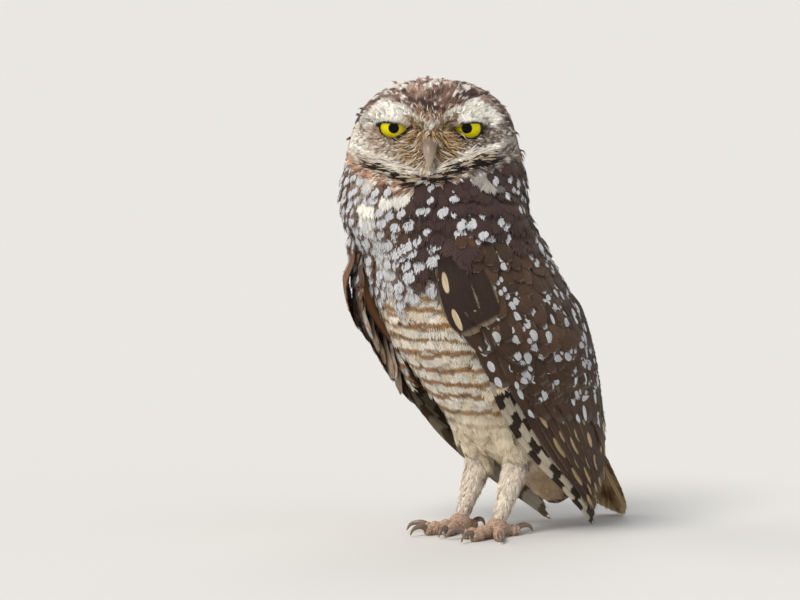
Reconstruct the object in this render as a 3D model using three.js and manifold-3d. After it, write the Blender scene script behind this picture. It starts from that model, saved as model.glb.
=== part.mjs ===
// A burrowing owl at life size, standing on both feet with the tip of its tail on the ground.
// Millimetres, +Z up. The breast faces -Y, the bird's left side is +X, and the head is turned to its left.
import * as THREE from "three";
import { mergeVertices } from "three/addons/utils/BufferGeometryUtils.js";
import Module from "manifold-3d";

const wasm = await Module();
wasm.setup();

// Driving sizes
const JOIN_GAP = 0.3;
const EYE_LEVEL = 198.2;
const CROWN = 219;
const HEAD_AXIS_Y = -30;
const HEAD_TURN = THREE.MathUtils.degToRad(42.3);
const EYE_OUT = 17;
const EYE_DEPTH = -17.2;
const EYE_RADIUS = 8.2;
const LID_THICK = 1.2;
const FOOT_OUT = 12.3;
const FOOT_Y = 0.5;
const HEEL_Y = 16.5;
const HEEL_HEIGHT = 37;
const VANE_THICK = 0.6;

// Heights, lowest first, then the breast line's Y, the back line's Y and the half width.
const TORSO = [
  [11, 54, 56, 0.4],
  [14, 48, 60, 6],
  [22, 38, 61, 11],
  [32, 25, 60, 16],
  [41, 10, 60, 22],
  [51, -3.5, 59, 28.5],
  [66, -17.5, 56, 35],
  [90, -37.5, 49, 41.5],
  [102, -45.5, 44, 43.5],
  [122, -55, 34, 46],
  [140, -60, 22, 47],
  [152, -60.5, 13, 46.5],
  [162, -59, 6, 44],
  [170, -54, 0, 38],
  [176, -45, -10, 24],
  [178, -32, -28, 0.4],
];
// Heights, then the middle's Y, the half width and the half depth of the folded wings' outer face.
const PLUMAGE = [
  [0, 62, 18, 20],
  [10, 56, 22, 26],
  [24, 45.5, 29, 33.5],
  [39, 33.7, 36, 41],
  [64, 16.2, 46, 47.4],
  [89, 3.3, 52, 50],
  [113.5, -11.1, 54, 52],
  [138, -20.9, 50, 46],
  [160, -31.3, 46, 41],
];
// Heights, then the head's half width, its face's depth and its nape's depth.
const HEAD = [
  [126, 0.4, 0.4, 0.4],
  [133, 24, 19, 22],
  [143, 38, 29, 33],
  [154, 43.3, 34, 36.5],
  [164, 44.5, 35.5, 37],
  [172, 43.2, 35, 36.5],
  [179, 42, 32.5, 36.5],
  [186, 40.8, 31, 37.5],
  [193, 39, 29.5, 37.5],
  [199, 37.6, 28.5, 36.5],
  [205, 34.4, 26.5, 34],
  [210.5, 29.2, 23, 29.5],
  [215, 22, 17.5, 22.5],
  [218, 11.5, 10, 12],
  [CROWN, 0.3, 0.3, 0.3],
];

const deg = THREE.MathUtils.degToRad;
const mix = THREE.MathUtils.lerp;
const ease = THREE.MathUtils.smoothstep;
const bell = (x) => Math.exp(-x * x);

// A smooth curve through a table's rows: the columns at a height.
function stations(rows) {
  const columns = rows[0].length - 1;
  const curve = new THREE.CubicInterpolant(
    rows.map((row) => row[0]),
    rows.flatMap((row) => row.slice(1)),
    columns,
    new Float64Array(columns),
  );
  return (height) => Array.from(curve.evaluate(height));
}

// Shapes to solids and back

function solid(geometry) {
  for (const name of ["normal", "uv"]) geometry.deleteAttribute(name);
  const merged = mergeVertices(geometry, 1e-4);
  const at = merged.getAttribute("position").array;
  const faces = new Uint32Array(merged.index.array);
  const corner = (i) => new THREE.Vector3().fromArray(at, faces[i] * 3);
  let volume = 0;
  for (let i = 0; i < faces.length; i += 3) volume += corner(i).dot(corner(i + 1).cross(corner(i + 2)));
  if (volume < 0) for (let i = 0; i < faces.length; i += 3) faces.subarray(i, i + 2).reverse();
  return new wasm.Manifold(new wasm.Mesh({ numProp: 3, vertProperties: at, triVerts: faces }));
}

// The largest closed surface of a solid, without loose scraps.
function largest(shape) {
  return shape.decompose().reduce((best, piece) => (piece.volume() > best.volume() ? piece : best));
}

function geometryOf(shape) {
  const mesh = shape.getMesh();
  return new THREE.BufferGeometry()
    .setAttribute("position", new THREE.BufferAttribute(new Float32Array(mesh.vertProperties), 3))
    .setIndex(new THREE.BufferAttribute(new Uint32Array(mesh.triVerts), 1));
}

// A closed round body. place(turn, along) gives each point, with along from 0 at one end to 1 at the other.
function rounded(segments, rings, place) {
  const ball = new THREE.SphereGeometry(1, segments, rings);
  const position = ball.getAttribute("position");
  const uv = ball.getAttribute("uv");
  for (let i = 0; i < position.count; i++) {
    const along = 1 - uv.getY(i);
    const pole = along < 1e-6 || along > 1 - 1e-6;
    const p = place(pole ? 0 : (uv.getX(i) % 1) * 2 * Math.PI, along);
    position.setXYZ(i, p.x, p.y, p.z);
  }
  return solid(ball);
}

function ellipsoid(centre, radii, segments = 14, rings = 8) {
  const ball = new THREE.SphereGeometry(1, segments, rings);
  return solid(ball.scale(...radii).translate(centre.x, centre.y, centre.z));
}

// A round limb along a curve. radius(along) gives its half width and half height.
function limb(points, radius, segments = 10, rings = 8, wide = new THREE.Vector3(1, 0, 0)) {
  const curve = new THREE.CatmullRomCurve3(points);
  return rounded(segments, rings, (turn, along) => {
    const ahead = curve.getTangent(along);
    const side = wide.clone().addScaledVector(ahead, -wide.dot(ahead)).normalize();
    const up = new THREE.Vector3().crossVectors(side, ahead);
    const [half, tall] = radius(along);
    const close = Math.sqrt(Math.max(0, 1 - (2 * along - 1) ** 8));
    return curve
      .getPoint(along)
      .addScaledVector(side, half * close * Math.cos(turn))
      .addScaledVector(up, tall * close * Math.sin(turn));
  });
}

// A closed plate whose two faces are split into triangles alike. face(s, t, layer) gives each point.
function plate(rows, columns, face) {
  const points = [];
  const index = [];
  const stride = columns + 1;
  const count = (rows + 1) * stride;
  for (const layer of [0, 1])
    for (let i = 0; i <= rows; i++)
      for (let j = 0; j <= columns; j++) points.push(...face(i / rows, j / columns, layer).toArray());
  for (let i = 0; i < rows; i++)
    for (let j = 0; j < columns; j++) {
      const a = i * stride + j;
      index.push(a, a + 1, a + stride, a + 1, a + stride + 1, a + stride);
      index.push(a + count, a + stride + count, a + 1 + count);
      index.push(a + 1 + count, a + stride + count, a + stride + 1 + count);
    }
  const rim = [];
  for (let j = 0; j < columns; j++) rim.push(j);
  for (let i = 0; i < rows; i++) rim.push(i * stride + columns);
  for (let j = columns; j > 0; j--) rim.push(rows * stride + j);
  for (let i = rows; i > 0; i--) rim.push(i * stride);
  rim.forEach((a, k) => {
    const b = rim[(k + 1) % rim.length];
    index.push(b, a, a + count, b, a + count, b + count);
  });
  return solid(
    new THREE.BufferGeometry().setAttribute("position", new THREE.Float32BufferAttribute(points, 3)).setIndex(index),
  );
}

// A feather vane. axis(along) gives a shaft point, its side and its outward direction.
function vane(rows, halfWidth, axis, { thick = VANE_THICK, round = 0.55 } = {}) {
  return plate(rows, 2, (step, t, layer) => {
    const s = 1 - (1 - step) ** 1.5;
    const { point, side, out } = axis(s);
    const tip = Math.sqrt(Math.max(0, 1 - ((s - round) / (1 - round)) ** 2));
    const half = halfWidth * (s < round ? mix(0.62, 1, s / round) : Math.max(0.12, tip));
    const across = 2 * t - 1;
    const crown = 0.09 * halfWidth * (1 - across * across);
    return point.addScaledVector(side, half * across).addScaledVector(out, crown - thick * layer);
  });
}

// Keeps what lies on or above the ground, so that the lowest places are small flats at one level.
const onGround = (shape) => shape.trimByPlane([0, 0, 1], 0);

const union = (shapes) => wasm.Manifold.union(shapes);

// Torso

const torsoAt = stations(TORSO);

function torsoPoint(turn, height, grow = 0) {
  const [breast, back, half] = torsoAt(height);
  const middle = (breast + back) / 2;
  const deep = (back - breast) / 2 + grow;
  return new THREE.Vector3((half + grow) * Math.cos(turn), middle + deep * Math.sin(turn), height);
}

function makeTorso(grow = 0) {
  const low = TORSO[0][0] - grow;
  const high = TORSO.at(-1)[0] + grow;
  return rounded(24, 14, (turn, along) =>
    torsoPoint(turn, mix(low, high, (1 - Math.cos(Math.PI * along)) / 2), along > 0 && along < 1 ? grow : 0),
  );
}

// Head: half widths and depths by height, with the face's relief pushed out along the way that it looks

const headAt = stations(HEAD);
const HEAD_MIDDLE = new THREE.Vector3(0, HEAD_AXIS_Y, 0);
const headToBody = new THREE.Matrix4().makeRotationZ(HEAD_TURN).setPosition(HEAD_MIDDLE);

// How far the face stands out at a place, from the eye hollows, brows, bill base, cheeks and disc rim.
function faceRelief(x, rise) {
  const out = Math.abs(x);
  const hollow = -3.6 * bell(Math.hypot((out - EYE_OUT + 1) / 9, (rise + 2) / 8));
  const browLine = mix(1.5, 9.5, THREE.MathUtils.clamp((out - 3) / 20, 0, 1));
  const brow = 3.2 * bell((rise - browLine) / 3.4) * (1 - ease(out, 20, 30));
  const bridge = 4.2 * bell(out / 4.6) * bell((rise + 6) / 8);
  const rim = 1.6 * bell((Math.hypot(out - 12, (rise + 3) * 1.05) - 20) / 3.2) * (1 - ease(rise, 4, 12));
  const chin = 1.6 * bell(Math.hypot(out / 11, (rise + 21) / 5));
  return hollow + brow + bridge + rim + chin;
}

function headPoint(turn, height, grow) {
  const [half, face, nape] = headAt(height).map((size) => size + grow);
  const flat = mix(1, 0.78, ease(height, 176, 190) * (1 - ease(height, 206, 216)));
  const ahead = Math.cos(turn);
  const x = half * Math.sign(Math.sin(turn)) * Math.abs(Math.sin(turn)) ** flat;
  const deep = ahead > 0 ? face * ahead ** flat : nape * ahead;
  const relief = ahead > 0 ? faceRelief(x, height - EYE_LEVEL) * ease(ahead, 0.15, 0.6) : 0;
  return new THREE.Vector3(x, -deep - relief * ease(CROWN - height, 0, 9), height);
}

function makeHead(grow = 0) {
  return rounded(34, 19, (turn, along) => {
    const front = turn - 0.5 * Math.sin(turn);
    const height = mix(CROWN, HEAD[0][0], along ** 0.94);
    return headPoint(front, height, grow).applyMatrix4(headToBody);
  });
}

const inHead = (x, y, rise) => new THREE.Vector3(x, y, EYE_LEVEL + rise).applyMatrix4(headToBody);
const eyeCentre = (side) => inHead(side * EYE_OUT, EYE_DEPTH, 0.6);

function makeEye(side, grow = 0) {
  const r = EYE_RADIUS + grow;
  return ellipsoid(eyeCentre(side), [r, r, r], 18, 12);
}

// The opening between the lids: a round lower edge, and an upper edge that slopes down towards the bill.
function lidOpening(side) {
  const outline = new THREE.Shape();
  outline.moveTo(-6.6, -1.8);
  outline.quadraticCurveTo(-1.4, 2, 6.4, 1.3);
  outline.quadraticCurveTo(8, -3, 4, -5.5);
  outline.quadraticCurveTo(-2, -8, -6.6, -1.8);
  const prism = new THREE.ExtrudeGeometry(outline, { depth: 20, bevelEnabled: false, curveSegments: 4 });
  prism.rotateX(Math.PI / 2).scale(side, 1, 1);
  prism.translate(side * EYE_OUT, EYE_DEPTH - 1, EYE_LEVEL + 0.6);
  return solid(prism.applyMatrix4(headToBody));
}

// Bill: the hooked upper half with its cere, and the short lower half under it

const UPPER_BILL = [
  [-23, -8.4],
  [-30, -8],
  [-35.4, -10.4],
  [-38.2, -15.2],
  [-38.4, -21.4],
];
const LOWER_BILL = [
  [-22, -12.6],
  [-29, -13.6],
  [-35.4, -15],
];

function billHalf(line, radius, grow) {
  const points = line.map(([y, rise]) => inHead(0, y, rise));
  const wide = new THREE.Vector3(1, 0, 0).transformDirection(headToBody);
  const size = (along) => radius(along).map((r) => r + grow);
  return limb(points, size, 12, 9, wide);
}

const upperBill = (grow = 0) =>
  billHalf(UPPER_BILL, (a) => [mix(4.4, 0.5, a ** 1.5), mix(5, 0.5, a ** 1.25)], grow);
const lowerBill = (grow = 0) => billHalf(LOWER_BILL, (a) => [mix(3.2, 1, a), mix(2, 0.7, a)], grow);

function makeNostril(side) {
  return ellipsoid(inHead(side * 3.6, -31.6, -7.6), [1, 1, 0.8], 6, 4);
}

// Wings: a cover over the shoulder and arm, with tiers of overlapping vanes that run back to the tips

const plumageAt = stations(PLUMAGE);

// A point of the folded wing's outer face. turn is 0 at the side and grows towards the back, lift is outwards.
function wingPoint(side, turn, height, lift) {
  const [middle, half, deep] = plumageAt(height);
  const x = (half + lift) * Math.cos(turn);
  return new THREE.Vector3(side * x, middle + (deep + lift) * Math.sin(turn), height);
}

// Each row: height, then the turn of the wing's front edge and of its back edge, in degrees.
const WING_EDGES = stations([
  [1, 6, 34],
  [10, -8, 40],
  [20, -22, 47],
  [38, -36, 57],
  [58, -44, 64],
  [78, -48, 76],
  [98, -50, 78],
  [118, -52, 74],
  [134, -52, 66],
  [150, -40, 50],
]);

const WING_TOP = 155;
const COVER_LOW = 84;

function wingCover(side) {
  return plate(6, 7, (s, t, layer) => {
    const height = mix(WING_TOP, COVER_LOW, s);
    const [front, back] = WING_EDGES(Math.min(height, 150));
    const turn = deg(mix(front, back, t));
    const border = ease(Math.min(t, 1 - t), 0, 0.16) * ease(s, 0, 0.2);
    const lift = mix(-4.5, 0, border) - 4 * ease(s, 0.6, 1);
    return wingPoint(side, turn, height, layer ? -16 : lift);
  });
}

// One vane of the wing from root to tip, each given as [height, turn in degrees, lift]. bend holds back its turn.
function wingVane(side, root, tip, halfWidth, tilt, bend = 1.15, rows = 3) {
  const place = (along, spread) => {
    const height = mix(root[0], tip[0], along);
    const turn = mix(root[1], tip[1], along ** bend);
    const lift = mix(root[2], tip[2], ease(along, 0, 0.45));
    const perDegree = (wingPoint(1, 0, height, 0).x * Math.PI) / 180;
    return wingPoint(side, deg(turn + spread / perDegree), height, lift);
  };
  return vane(rows, halfWidth, (along) => {
    const point = place(along, 0);
    const side1 = place(along, 1).sub(point).normalize();
    const ahead = place(Math.min(1, along + 0.02), 0).sub(place(Math.max(0, along - 0.02), 0)).normalize();
    const out = new THREE.Vector3().crossVectors(ahead, side1).normalize();
    if (out.x * side < 0 && out.y < 0.5) out.negate();
    if (out.dot(new THREE.Vector3(side, 0.6, 0)) < 0) out.negate();
    return { point, side: side1.addScaledVector(out, -tilt).normalize(), out };
  });
}

// Each tier's count of vanes, their half width, tilt and bend, then its first and last vane's root and tip.
const WING_TIERS = [
  {
    count: 6, half: 5.6, tilt: 0.2, bend: [2.4, 1.4],
    roots: [[88, -44, -7.5], [96, 8, -7]], tips: [[2.4, 12, -3.4], [27, 44, -2.6]],
  },
  {
    count: 6, half: 7.6, tilt: 0.18, bend: [2.2, 1.3],
    roots: [[98, -26, -5.5], [112, 50, -4.5]], tips: [[13, 14, -1.9], [32, 52, -0.6]],
  },
  {
    count: 3, half: 8, tilt: 0.15, bend: [1.3, 1.2],
    roots: [[114, 36, -4], [120, 64, -3.5]], tips: [[42, 40, 0.2], [58, 66, 1]],
  },
  {
    count: 7, half: 8.2, tilt: 0.1, bend: [1.15, 1.15],
    roots: [[108, -43, -3], [116, 58, -3]], tips: [[76, -38, 0.4], [68, 52, 0.8]],
  },
];
const ALULA = { root: [138, -44, -5], tip: [101, -46, 1.4], half: 7.4 };

function wingTier(side, { count, half, tilt, bend, roots, tips }) {
  return Array.from({ length: count }, (_, i) => {
    const share = i / (count - 1);
    const between = (ends) => ends[0].map((value, k) => mix(value, ends[1][k], share));
    return wingVane(side, between(roots), between(tips), half, tilt, mix(bend[0], bend[1], share));
  });
}

function makeWing(side, inner, tail) {
  const alula = wingVane(side, ALULA.root, ALULA.tip, ALULA.half, 0.05);
  const vanes = WING_TIERS.flatMap((tier) => wingTier(side, tier));
  const whole = union([wingCover(side), alula, ...vanes]);
  return largest(onGround(whole.subtract(inner).subtract(tail)));
}

// Tail: twelve long vanes, the middle pair outermost, and the coverts that bind their roots

const TAIL_LINE = new THREE.CatmullRomCurve3(
  [[61, 70], [71, 53], [82, 34], [93, 15.5], [102, -0.8]].map(([y, z]) => new THREE.Vector3(0, y, z)),
);
const TAIL_VANES = 12;
const TAIL_SPREAD = 11.8;
const TAIL_LAYER = 0.92;

function tailVane(index) {
  const place = index - (TAIL_VANES - 1) / 2;
  const rank = Math.floor(Math.abs(place));
  const fan = (place / ((TAIL_VANES - 1) / 2)) * TAIL_SPREAD;
  return vane(3, 5.2, (along) => {
    const reach = along * (1 - 0.012 * rank);
    const ahead = TAIL_LINE.getTangent(reach);
    const out = new THREE.Vector3(0, -ahead.z, ahead.y).normalize();
    const layer = mix(0.3, 1, ease(along, 0, 0.4)) * (TAIL_LAYER * rank + (place > 0 ? 0.46 : 0));
    const point = TAIL_LINE.getPoint(reach).addScaledVector(out, -layer);
    point.x = fan * mix(0.3, 1, along);
    return { point, side: new THREE.Vector3(1, 0, 0), out };
  });
}

function tailRoot(grow = 0) {
  const points = [[50, 78], [57, 68], [63, 56], [68, 44]].map(([y, z]) => new THREE.Vector3(0, y, z));
  return limb(points, (a) => [mix(6.5, 8.5, a) + grow, mix(8, 3.2, a) + grow], 12, 7);
}

function makeTail(inner) {
  const vanes = Array.from({ length: TAIL_VANES }, (_, i) => tailVane(i));
  return largest(onGround(union([tailRoot(), ...vanes]).subtract(inner)));
}

// Legs: a feathered thigh, a slim shank that slants forwards to the foot, four toes and their claws

function makeThigh(side, grow = 0) {
  const points = [[8, 62], [12, 50], [HEEL_Y, HEEL_HEIGHT]];
  const line = points.map(([y, z], i) => new THREE.Vector3(side * mix(15, FOOT_OUT, i / 2), y, z));
  return limb(line, (a) => [mix(11, 6.2, a) + grow, mix(13, 6.6, a) + grow], 12, 7);
}

function makeShank(side, grow = 0) {
  const line = [
    new THREE.Vector3(side * FOOT_OUT, HEEL_Y - 1, HEEL_HEIGHT + 4),
    new THREE.Vector3(side * FOOT_OUT, HEEL_Y - 3.5, HEEL_HEIGHT - 6),
    new THREE.Vector3(side * FOOT_OUT, FOOT_Y + 5, 15),
    new THREE.Vector3(side * FOOT_OUT, FOOT_Y, 5),
  ];
  return limb(line, (a) => [mix(4.6, 3.4, a) + grow, mix(4.9, 3.6, a) + grow], 10, 8);
}

function makeFoot(side, grow = 0) {
  const centre = new THREE.Vector3(side * FOOT_OUT, FOOT_Y, 4.6);
  return onGround(ellipsoid(centre, [5.3 + grow, 5.8 + grow, 5 + grow], 12, 7));
}

// Each toe: its name, its turn outwards from straight ahead in degrees, and its length.
const TOES = [
  ["inner", -22, 18],
  ["middle", 9, 21],
  ["outer", 48, 17],
  ["hind", 170, 13],
];
const TOE_HALF = 2.5;
const CLAW_LENGTH = 9.5;

function toeLine(side, turn, stops) {
  const ahead = new THREE.Vector3(side * Math.sin(deg(turn)), -Math.cos(deg(turn)), 0);
  return stops.map(([distance, height]) =>
    new THREE.Vector3(side * FOOT_OUT, FOOT_Y, height).addScaledVector(ahead, distance),
  );
}

function makeToe(side, [, turn, length], grow = 0) {
  const line = toeLine(side, turn, [[1, 5], [length * 0.42, 3.4], [length * 0.75, 2.6], [length, 2.6]]);
  const wide = new THREE.Vector3(-Math.cos(deg(turn)), -side * Math.sin(deg(turn)), 0);
  const pad = (a) => TOE_HALF + 0.45 * Math.cos(a * 3.2 * 2 * Math.PI) * (1 - 0.4 * a);
  return onGround(limb(line, (a) => [pad(a) + grow, pad(a) + 0.2 + grow], 8, 9, wide));
}

function makeClaw(side, [, turn, length]) {
  const end = length + CLAW_LENGTH;
  const line = toeLine(side, turn, [[length - 2.5, 3], [length + 2, 4.6], [end - 3, 3.8], [end - 0.8, 0.7]]);
  const wide = new THREE.Vector3(-Math.cos(deg(turn)), -side * Math.sin(deg(turn)), 0);
  return onGround(limb(line, (a) => [mix(1.4, 0.3, a ** 1.4), mix(1.7, 0.3, a ** 1.4)], 6, 7, wide));
}

// Colours, roughness and metalness as seen

const finish = (color, roughness) => new THREE.MeshStandardMaterial({ color, roughness, metalness: 0 });
const FINISH = {
  head: finish(0x8a7462, 0.9),
  breast: finish(0xcbb99c, 0.92),
  wing: finish(0x56402f, 0.88),
  tail: finish(0x6e5338, 0.88),
  leg: finish(0xc9b491, 0.9),
  toe: finish(0xa98a70, 0.75),
  claw: finish(0x3a322e, 0.4),
  bill: finish(0xa89a84, 0.45),
  eye: finish(0xf2d80a, 0.12),
};

// The whole bird, parted into its nodes

const owl = new THREE.Group();

// A named mesh whose own origin is its pivot, so that its position places it.
function node(group, name, shape, material, pivot) {
  const mesh = new THREE.Mesh(geometryOf(shape).translate(-pivot.x, -pivot.y, -pivot.z), material);
  mesh.name = name;
  mesh.position.copy(pivot);
  group.add(mesh);
}

const SIDES = [["left", 1], ["right", -1]];
const NECK_TOP = { normal: new THREE.Vector3(0, -0.17, 1).applyAxisAngle(new THREE.Vector3(0, 0, 1), HEAD_TURN) };
NECK_TOP.normal.normalize();
NECK_TOP.offset = NECK_TOP.normal.dot(inHead(0, -33, 175.5 - EYE_LEVEL));
const NECK_LOW = { normal: new THREE.Vector3(0, -0.14, 1).normalize() };
NECK_LOW.offset = NECK_LOW.normal.dot(new THREE.Vector3(0, -58, 159));

const above = (shape, { normal, offset }, gap = 0) => shape.trimByPlane(normal.toArray(), offset + gap);
const below = (shape, { normal, offset }, gap = 0) =>
  shape.trimByPlane(normal.clone().negate().toArray(), gap - offset);

const innerTorso = makeTorso(JOIN_GAP).add(makeHead(JOIN_GAP));
const grownTail = tailRoot(JOIN_GAP);
const flesh = makeTorso().add(makeHead());
const legs = SIDES.flatMap(([, side]) => [makeThigh(side, JOIN_GAP), makeShank(side, JOIN_GAP)]);

const bills = union([upperBill(JOIN_GAP), lowerBill(JOIN_GAP)]);
const lids = SIDES.map(([, side]) => makeEye(side, LID_THICK + JOIN_GAP));
const sockets = SIDES.flatMap(([, side]) => [lidOpening(side), makeEye(side, JOIN_GAP)]);
const head = above(flesh.add(union(lids)), NECK_TOP).subtract(union([bills, ...sockets]));
const neck = above(below(flesh, NECK_TOP, JOIN_GAP), NECK_LOW);
const torso = below(flesh, NECK_LOW, JOIN_GAP).subtract(union(legs));

const headGroup = new THREE.Group();
owl.add(headGroup);
node(headGroup, "head", largest(head), FINISH.head, inHead(0, 0, 0));
node(headGroup, "neck", largest(neck), FINISH.head, new THREE.Vector3(0, HEAD_AXIS_Y, 166));
const nostrils = union(SIDES.map(([, side]) => makeNostril(side)));
node(headGroup, "bill_upper", largest(upperBill().subtract(nostrils)), FINISH.bill, inHead(0, -23, -8.4));
node(headGroup, "bill_lower", largest(lowerBill().subtract(upperBill(JOIN_GAP))), FINISH.bill, inHead(0, -22, -12.6));
for (const [word, side] of SIDES) node(headGroup, `eye_${word}`, makeEye(side), FINISH.eye, eyeCentre(side));

node(owl, "torso", largest(torso), FINISH.breast, new THREE.Vector3(0, 0, 95));
node(owl, "tail", makeTail(innerTorso), FINISH.tail, new THREE.Vector3(0, 57, 68));

for (const [word, side] of SIDES) {
  const wingPivot = new THREE.Vector3(side * 44, -20, 140);
  const wing = makeWing(side, innerTorso, grownTail);
  node(owl, `wing_${word}`, wing, FINISH.wing, wingPivot);

  const leg = new THREE.Group();
  owl.add(leg);
  const heel = new THREE.Vector3(side * FOOT_OUT, HEEL_Y, HEEL_HEIGHT);
  const sole = new THREE.Vector3(side * FOOT_OUT, FOOT_Y, 0);
  const foot = makeFoot(side).subtract(makeShank(side, JOIN_GAP));
  node(leg, `thigh_${word}`, largest(makeThigh(side)), FINISH.leg, heel);
  node(leg, `shank_${word}`, largest(makeShank(side).subtract(makeThigh(side, JOIN_GAP))), FINISH.leg, heel);
  node(leg, `foot_${word}`, largest(foot), FINISH.toe, sole);
  const ankle = makeFoot(side, JOIN_GAP).add(makeShank(side, JOIN_GAP));
  const laid = [];
  for (const toe of TOES) {
    const own = largest(makeToe(side, toe).subtract(union([ankle, ...laid])));
    laid.push(makeToe(side, toe, JOIN_GAP));
    node(leg, `toe_${word}_${toe[0]}`, own, FINISH.toe, sole);
    const claw = largest(makeClaw(side, toe).subtract(makeToe(side, toe, JOIN_GAP)));
    node(leg, `claw_${word}_${toe[0]}`, claw, FINISH.claw, sole);
  }
}

// The frame's origin is the middle of the ground that the bird covers.
const cover = new THREE.Box3().setFromObject(owl);
const middle = cover.getCenter(new THREE.Vector3());
owl.position.set(-middle.x, -middle.y, 0);

export default new THREE.Group().add(owl);
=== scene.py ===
import math
from functools import partial

import bpy
import numpy as np
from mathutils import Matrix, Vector
from mathutils.bvhtree import BVHTree
from mathutils.kdtree import KDTree


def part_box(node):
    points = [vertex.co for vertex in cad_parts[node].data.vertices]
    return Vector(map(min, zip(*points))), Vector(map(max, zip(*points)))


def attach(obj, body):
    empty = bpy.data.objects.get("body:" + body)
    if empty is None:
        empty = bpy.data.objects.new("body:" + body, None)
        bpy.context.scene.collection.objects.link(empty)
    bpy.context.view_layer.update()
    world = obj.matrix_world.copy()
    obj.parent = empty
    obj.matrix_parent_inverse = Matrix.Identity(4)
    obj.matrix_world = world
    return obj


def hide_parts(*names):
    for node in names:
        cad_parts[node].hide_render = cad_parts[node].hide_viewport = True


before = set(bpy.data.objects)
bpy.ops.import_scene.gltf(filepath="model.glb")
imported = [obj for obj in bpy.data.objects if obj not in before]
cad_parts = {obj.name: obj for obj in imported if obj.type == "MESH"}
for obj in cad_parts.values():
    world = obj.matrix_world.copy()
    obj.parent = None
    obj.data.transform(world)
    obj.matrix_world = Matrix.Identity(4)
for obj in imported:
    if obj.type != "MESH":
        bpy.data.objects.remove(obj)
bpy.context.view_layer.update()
scene = bpy.context.scene

# The body under the plumage. The bird stands upright on slim legs, with a deep breast, a
# back that runs straight down to the tail, and a big round head turned to its left.
# Lengths are in millimetres with the ground at 0, the breast towards -Y and its left +X.
HEAD_TURN = math.radians(42.3)
HEAD_AXIS = np.array([0.0, -30.0, 0.0])
EYE_LEVEL = 198.2
CROWN = 219.0
EYE_OUT = 17.0
EYE_DEPTH = -17.2
EYE_RISE = 0.6
EYE_RADIUS = 8.2
FOOT_OUT = 12.3
FOOT_Y = 0.5
HEEL_Y = 16.5
HEEL_HEIGHT = 37.0
SIDES = {"left": 1, "right": -1}

# Heights, then the breast line's Y, the back line's Y and the half width.
TORSO = [
    (11, 54, 56, 0.4), (14, 48, 60, 6), (22, 38, 61, 11), (32, 25, 60, 16),
    (41, 10, 60, 22), (51, -3.5, 59, 28.5), (66, -17.5, 56, 35), (90, -37.5, 49, 41.5),
    (102, -45.5, 44, 43.5), (122, -55, 34, 46), (140, -60, 22, 47), (152, -60.5, 13, 46.5),
    (162, -59, 6, 44), (170, -54, 0, 38), (176, -45, -10, 24), (178, -32, -28, 0.4),
]
# Heights, then the head's half width, its face's depth and its nape's depth.
HEAD = [
    (126, 0.4, 0.4, 0.4), (133, 24, 19, 22), (143, 38, 29, 33), (154, 43.3, 34, 36.5),
    (164, 44.5, 35.5, 37), (172, 43.2, 35, 36.5), (179, 42, 32.5, 36.5), (186, 40.8, 31, 37.5),
    (193, 39, 29.5, 37.5), (199, 37.6, 28.5, 36.5), (205, 34.4, 26.5, 34), (210.5, 29.2, 23, 29.5),
    (215, 22, 17.5, 22.5), (218, 11.5, 10, 12), (219, 0.3, 0.3, 0.3),
]


def stations(rows):
    """A smooth curve through a table's rows: the columns at any height."""
    rows = np.array(rows, float)
    knots, values = rows[:, 0], rows[:, 1:]
    slopes = np.gradient(values, knots, axis=0)

    def columns(height):
        height = np.clip(np.asarray(height, float), knots[0], knots[-1])
        i = np.clip(np.searchsorted(knots, height) - 1, 0, len(knots) - 2)
        span = knots[i + 1] - knots[i]
        t = (height - knots[i]) / span
        t, span = t[..., None], span[..., None]
        ahead = (2 * t**3 - 3 * t**2 + 1) * values[i] + (3 * t**2 - 2 * t**3) * values[i + 1]
        bend = (t**3 - 2 * t**2 + t) * slopes[i] + (t**3 - t**2) * slopes[i + 1]
        return np.moveaxis(ahead + bend * span, -1, 0)

    return columns


def ease(x, low, high):
    t = np.clip((np.asarray(x, float) - low) / (high - low), 0, 1)
    return t * t * (3 - 2 * t)


def bell(x):
    return np.exp(-np.square(x))


def mix(a, b, t):
    return a + (b - a) * t


def unit(v):
    return v / np.maximum(np.linalg.norm(v, axis=-1, keepdims=True), 1e-9)


def to_body(points):
    """From the head's own axes, with -Y the way that the face looks, to the body's."""
    c, s = math.cos(HEAD_TURN), math.sin(HEAD_TURN)
    x, y, z = np.moveaxis(np.asarray(points, float), -1, 0)
    return np.stack([c * x - s * y, s * x + c * y, z], -1) + HEAD_AXIS


def way_to_body(ways):
    return to_body(ways) - HEAD_AXIS


def to_head(points):
    c, s = math.cos(HEAD_TURN), math.sin(HEAD_TURN)
    x, y, z = np.moveaxis(np.asarray(points, float) - HEAD_AXIS, -1, 0)
    return np.stack([c * x + s * y, c * y - s * x, z], -1)


torso_at = stations(TORSO)
head_at = stations(HEAD)


def torso_point(turn, height, lift=0.0):
    breast, back, half = torso_at(height)
    x = (half + lift) * np.cos(turn)
    y = (breast + back) / 2 + ((back - breast) / 2 + lift) * np.sin(turn)
    return np.stack(np.broadcast_arrays(x, y, height), -1)


def face_relief(x, rise):
    """How far the face stands out, from its eye hollows, brows, bill base, disc rim and chin."""
    out = np.abs(x)
    hollow = -3.6 * bell(np.hypot((out - EYE_OUT + 1) / 9, (rise + 2) / 8))
    brow_line = mix(1.5, 9.5, np.clip((out - 3) / 20, 0, 1))
    brow = 3.2 * bell((rise - brow_line) / 3.4) * (1 - ease(out, 20, 30))
    bridge = 4.2 * bell(out / 4.6) * bell((rise + 6) / 8)
    rim = 1.6 * bell((np.hypot(out - 12, (rise + 3) * 1.05) - 20) / 3.2) * (1 - ease(rise, 4, 12))
    chin = 1.6 * bell(np.hypot(out / 11, (rise + 21) / 5))
    return hollow + brow + bridge + rim + chin


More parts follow.
